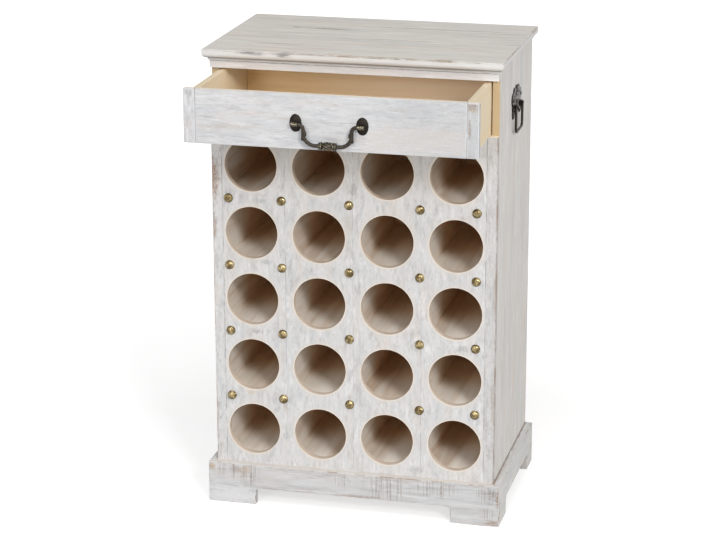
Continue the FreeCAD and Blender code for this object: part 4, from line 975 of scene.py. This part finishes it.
class CABINET_OT_side_handles(bpy.types.Operator):
    """Finish the side handles and raise the leaf relief on their backplates"""
    bl_idname = "cabinet.side_handles"
    bl_label = "Finish the side handles"

    def execute(self, context):
        metal = context.scene.cabinet_metal
        # Light grey worn metal on the relief: wear that also paints in its highlights.
        worn = rubbed_metal("Worn relief", metal.bronze, metal.relief, roughness=0.34, rubbed=0.14, scale=520.0)
        dress(["left_handle_plate", "right_handle_plate", "left_handle_bail", "right_handle_bail",
               "handle_plate_screws"], bpy.data.materials["Dark bronze"])
        for side, outward in (("left", -1), ("right", 1)):
            low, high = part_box(f"{side}_handle_plate")
            middle = (low.y + high.y) / 2
            crown = high.z - CROWN_DROP
            face = (low.x if outward == 1 else high.x) + outward * RELIEF_LIFT

            def relief(work):
                for tilt in FAN_TILTS:
                    across, up = FAN_RADIUS * math.sin(tilt), FAN_RADIUS * math.cos(tilt)
                    add_bead(work, (face, middle - across, crown + FAN_LIFT + up), FAN_LEAF, tilt)
                for up, radii in MIDDLE_BEADS:
                    add_bead(work, (face, middle, crown + up), radii)
                for way in (-1, 1):
                    for out, up, radii, turn in PAIRED_BEADS:
                        add_bead(work, (face, middle + way * out, crown + up), radii, way * turn)

            new_piece(f"{side}_plate_relief", relief, worn, "cabinet")
        return {"FINISHED"}


class CABINET_OT_nails_and_screws(bpy.types.Operator):
    """Finish the domed nails, the screws and the pins"""
    bl_idname = "cabinet.nails_and_screws"
    bl_label = "Finish the nails and screws"

    def execute(self, context):
        metal = context.scene.cabinet_metal
        dress(["brass_nails"], rubbed_metal("Antique brass", metal.brass_dark, metal.brass, roughness=0.28,
                                            rubbed=0.2, scale=120.0))
        dress(["back_panel_pins", "kicker_screws", "handle_post_screws"],
              rubbed_metal("Bright steel", darker(metal.steel, 0.8), metal.steel, roughness=0.35, rubbed=0.1,
                           scale=420.0))
        return {"FINISHED"}


def white_to_camera(work):
    """One for the rays that look straight at the background or see it in metal."""
    rays = work.tree.nodes.new("ShaderNodeLightPath").outputs
    seen = work.maths("MAXIMUM", rays["Is Camera Ray"], rays["Is Glossy Ray"])
    return work.maths("MAXIMUM", seen, rays["Is Transmission Ray"])


class CABINET_OT_stage(bpy.types.Operator):
    """Lay the floor, set the light and the camera"""
    bl_idname = "cabinet.stage"
    bl_label = "Set the stage"

    def execute(self, context):
        scene, stage = context.scene, context.scene.cabinet_stage
        self.lay_floor(scene, stage)
        self.light_world(scene, stage)
        for name, turn, rise, size, power in LAMPS:
            self.add_lamp(scene, name, math.radians(turn), math.radians(rise), size, getattr(stage, power))
        self.set_camera(scene, stage)
        scene.view_settings.view_transform = "Standard"
        return {"FINISHED"}

    def lay_floor(self, scene, stage):
        reach = stage.floor_reach
        mesh = bpy.data.meshes.new("floor")
        mesh.from_pydata([(-reach, -reach, 0), (reach, -reach, 0), (reach, reach, 0), (-reach, reach, 0)], [],
                         [(0, 1, 2, 3)])
        floor = bpy.data.objects.new("floor", mesh)
        scene.collection.objects.link(floor)
        material = bpy.data.materials.new("Pale floor")
        material.use_nodes = True
        work = NodeRecipe(material.node_tree)
        shader = work.tree.nodes["Principled BSDF"]
        shader.inputs["Base Color"].default_value = FLOOR_GREY
        shader.inputs["Roughness"].default_value = 1.0
        shader.inputs["Specular IOR Level"].default_value = 0.0
        away = work.vectors("LENGTH", work.tree.nodes.new("ShaderNodeTexCoord").outputs["Object"])
        lift = work.add("ShaderNodeMapRange", {"Value": away, **FLOOR_LIFT}).outputs[0]
        glow = work.add("ShaderNodeEmission", {"Strength": white_to_camera(work) * lift})
        both = work.add("ShaderNodeAddShader", {0: shader.outputs[0], 1: glow.outputs[0]})
        work.link(both.outputs[0], work.tree.nodes["Material Output"].inputs["Surface"])
        mesh.materials.append(material)

    def light_world(self, scene, stage):
        world = bpy.data.worlds.new("Even light")
        scene.world = world
        world.use_nodes = True
        work = NodeRecipe(world.node_tree)
        seen = white_to_camera(work)
        level = work.add("ShaderNodeMapRange", {"Value": seen, "To Min": stage.fill, "To Max": 1.0})
        background = work.tree.nodes["Background"]
        background.inputs["Color"].default_value = WHITE
        work.link(level.outputs[0], background.inputs["Strength"])

    def add_lamp(self, scene, name, turn, rise, size, power):
        """A soft lamp aimed at the cabinet: turned from the front toward the right, and raised."""
        way = Vector((math.sin(turn) * math.cos(rise), -math.cos(turn) * math.cos(rise), math.sin(rise)))
        lamp = bpy.data.lights.new(name, "AREA")
        lamp.size = size
        lamp.energy = power
        holder = bpy.data.objects.new(name, lamp)
        holder.location = LAMP_AIM + LAMP_DISTANCE * way
        holder.rotation_euler = (-way).to_track_quat("-Z", "Y").to_euler()
        scene.collection.objects.link(holder)

    def set_camera(self, scene, stage):
        camera = bpy.data.cameras.new("Camera")
        camera.sensor_fit = "HORIZONTAL"
        camera.sensor_width = SENSOR_WIDTH
        camera.lens = stage.lens
        camera.clip_end = VIEW_END
        forward = Vector(stage.camera_forward).normalized()
        right = forward.cross(Vector(stage.camera_up)).normalized()
        up = right.cross(forward)
        turn = Matrix((right, up, -forward)).transposed().to_4x4()
        eye = bpy.data.objects.new("Camera", camera)
        eye.matrix_world = Matrix.Translation(stage.camera_place) @ turn
        scene.collection.objects.link(eye)
        scene.camera = eye


OPERATORS = (CABINET_OT_painted_boards, CABINET_OT_top, CABINET_OT_plinth, CABINET_OT_inside, CABINET_OT_drawer,
             CABINET_OT_drawer_handle, CABINET_OT_side_handles, CABINET_OT_nails_and_screws, CABINET_OT_stage)


class CABINET_PT_panel(bpy.types.Panel):
    """Lists the steps that dress the cabinet"""
    bl_idname = "CABINET_PT_panel"
    bl_label = "Wine cabinet"
    bl_space_type = "VIEW_3D"
    bl_region_type = "UI"
    bl_category = "Cabinet"

    def draw(self, context):
        for operator in OPERATORS:
            self.layout.operator(operator.bl_idname)


PROPERTIES = {"cabinet_wood": CabinetWood, "cabinet_metal": CabinetMetal, "cabinet_stage": CabinetStage}


def register():
    for name, group in PROPERTIES.items():
        bpy.utils.register_class(group)
        setattr(bpy.types.Scene, name, PointerProperty(type=group))
    for member in (*OPERATORS, CABINET_PT_panel):
        bpy.utils.register_class(member)


def unregister():
    for member in (CABINET_PT_panel, *reversed(OPERATORS)):
        bpy.utils.unregister_class(member)
    for name, group in reversed(PROPERTIES.items()):
        delattr(bpy.types.Scene, name)
        bpy.utils.unregister_class(group)


def main():
    register()
    build_node_groups()
    for operator in OPERATORS:
        family, name = operator.bl_idname.split(".")
        getattr(getattr(bpy.ops, family), name)()


if __name__ == "__main__":
    main()
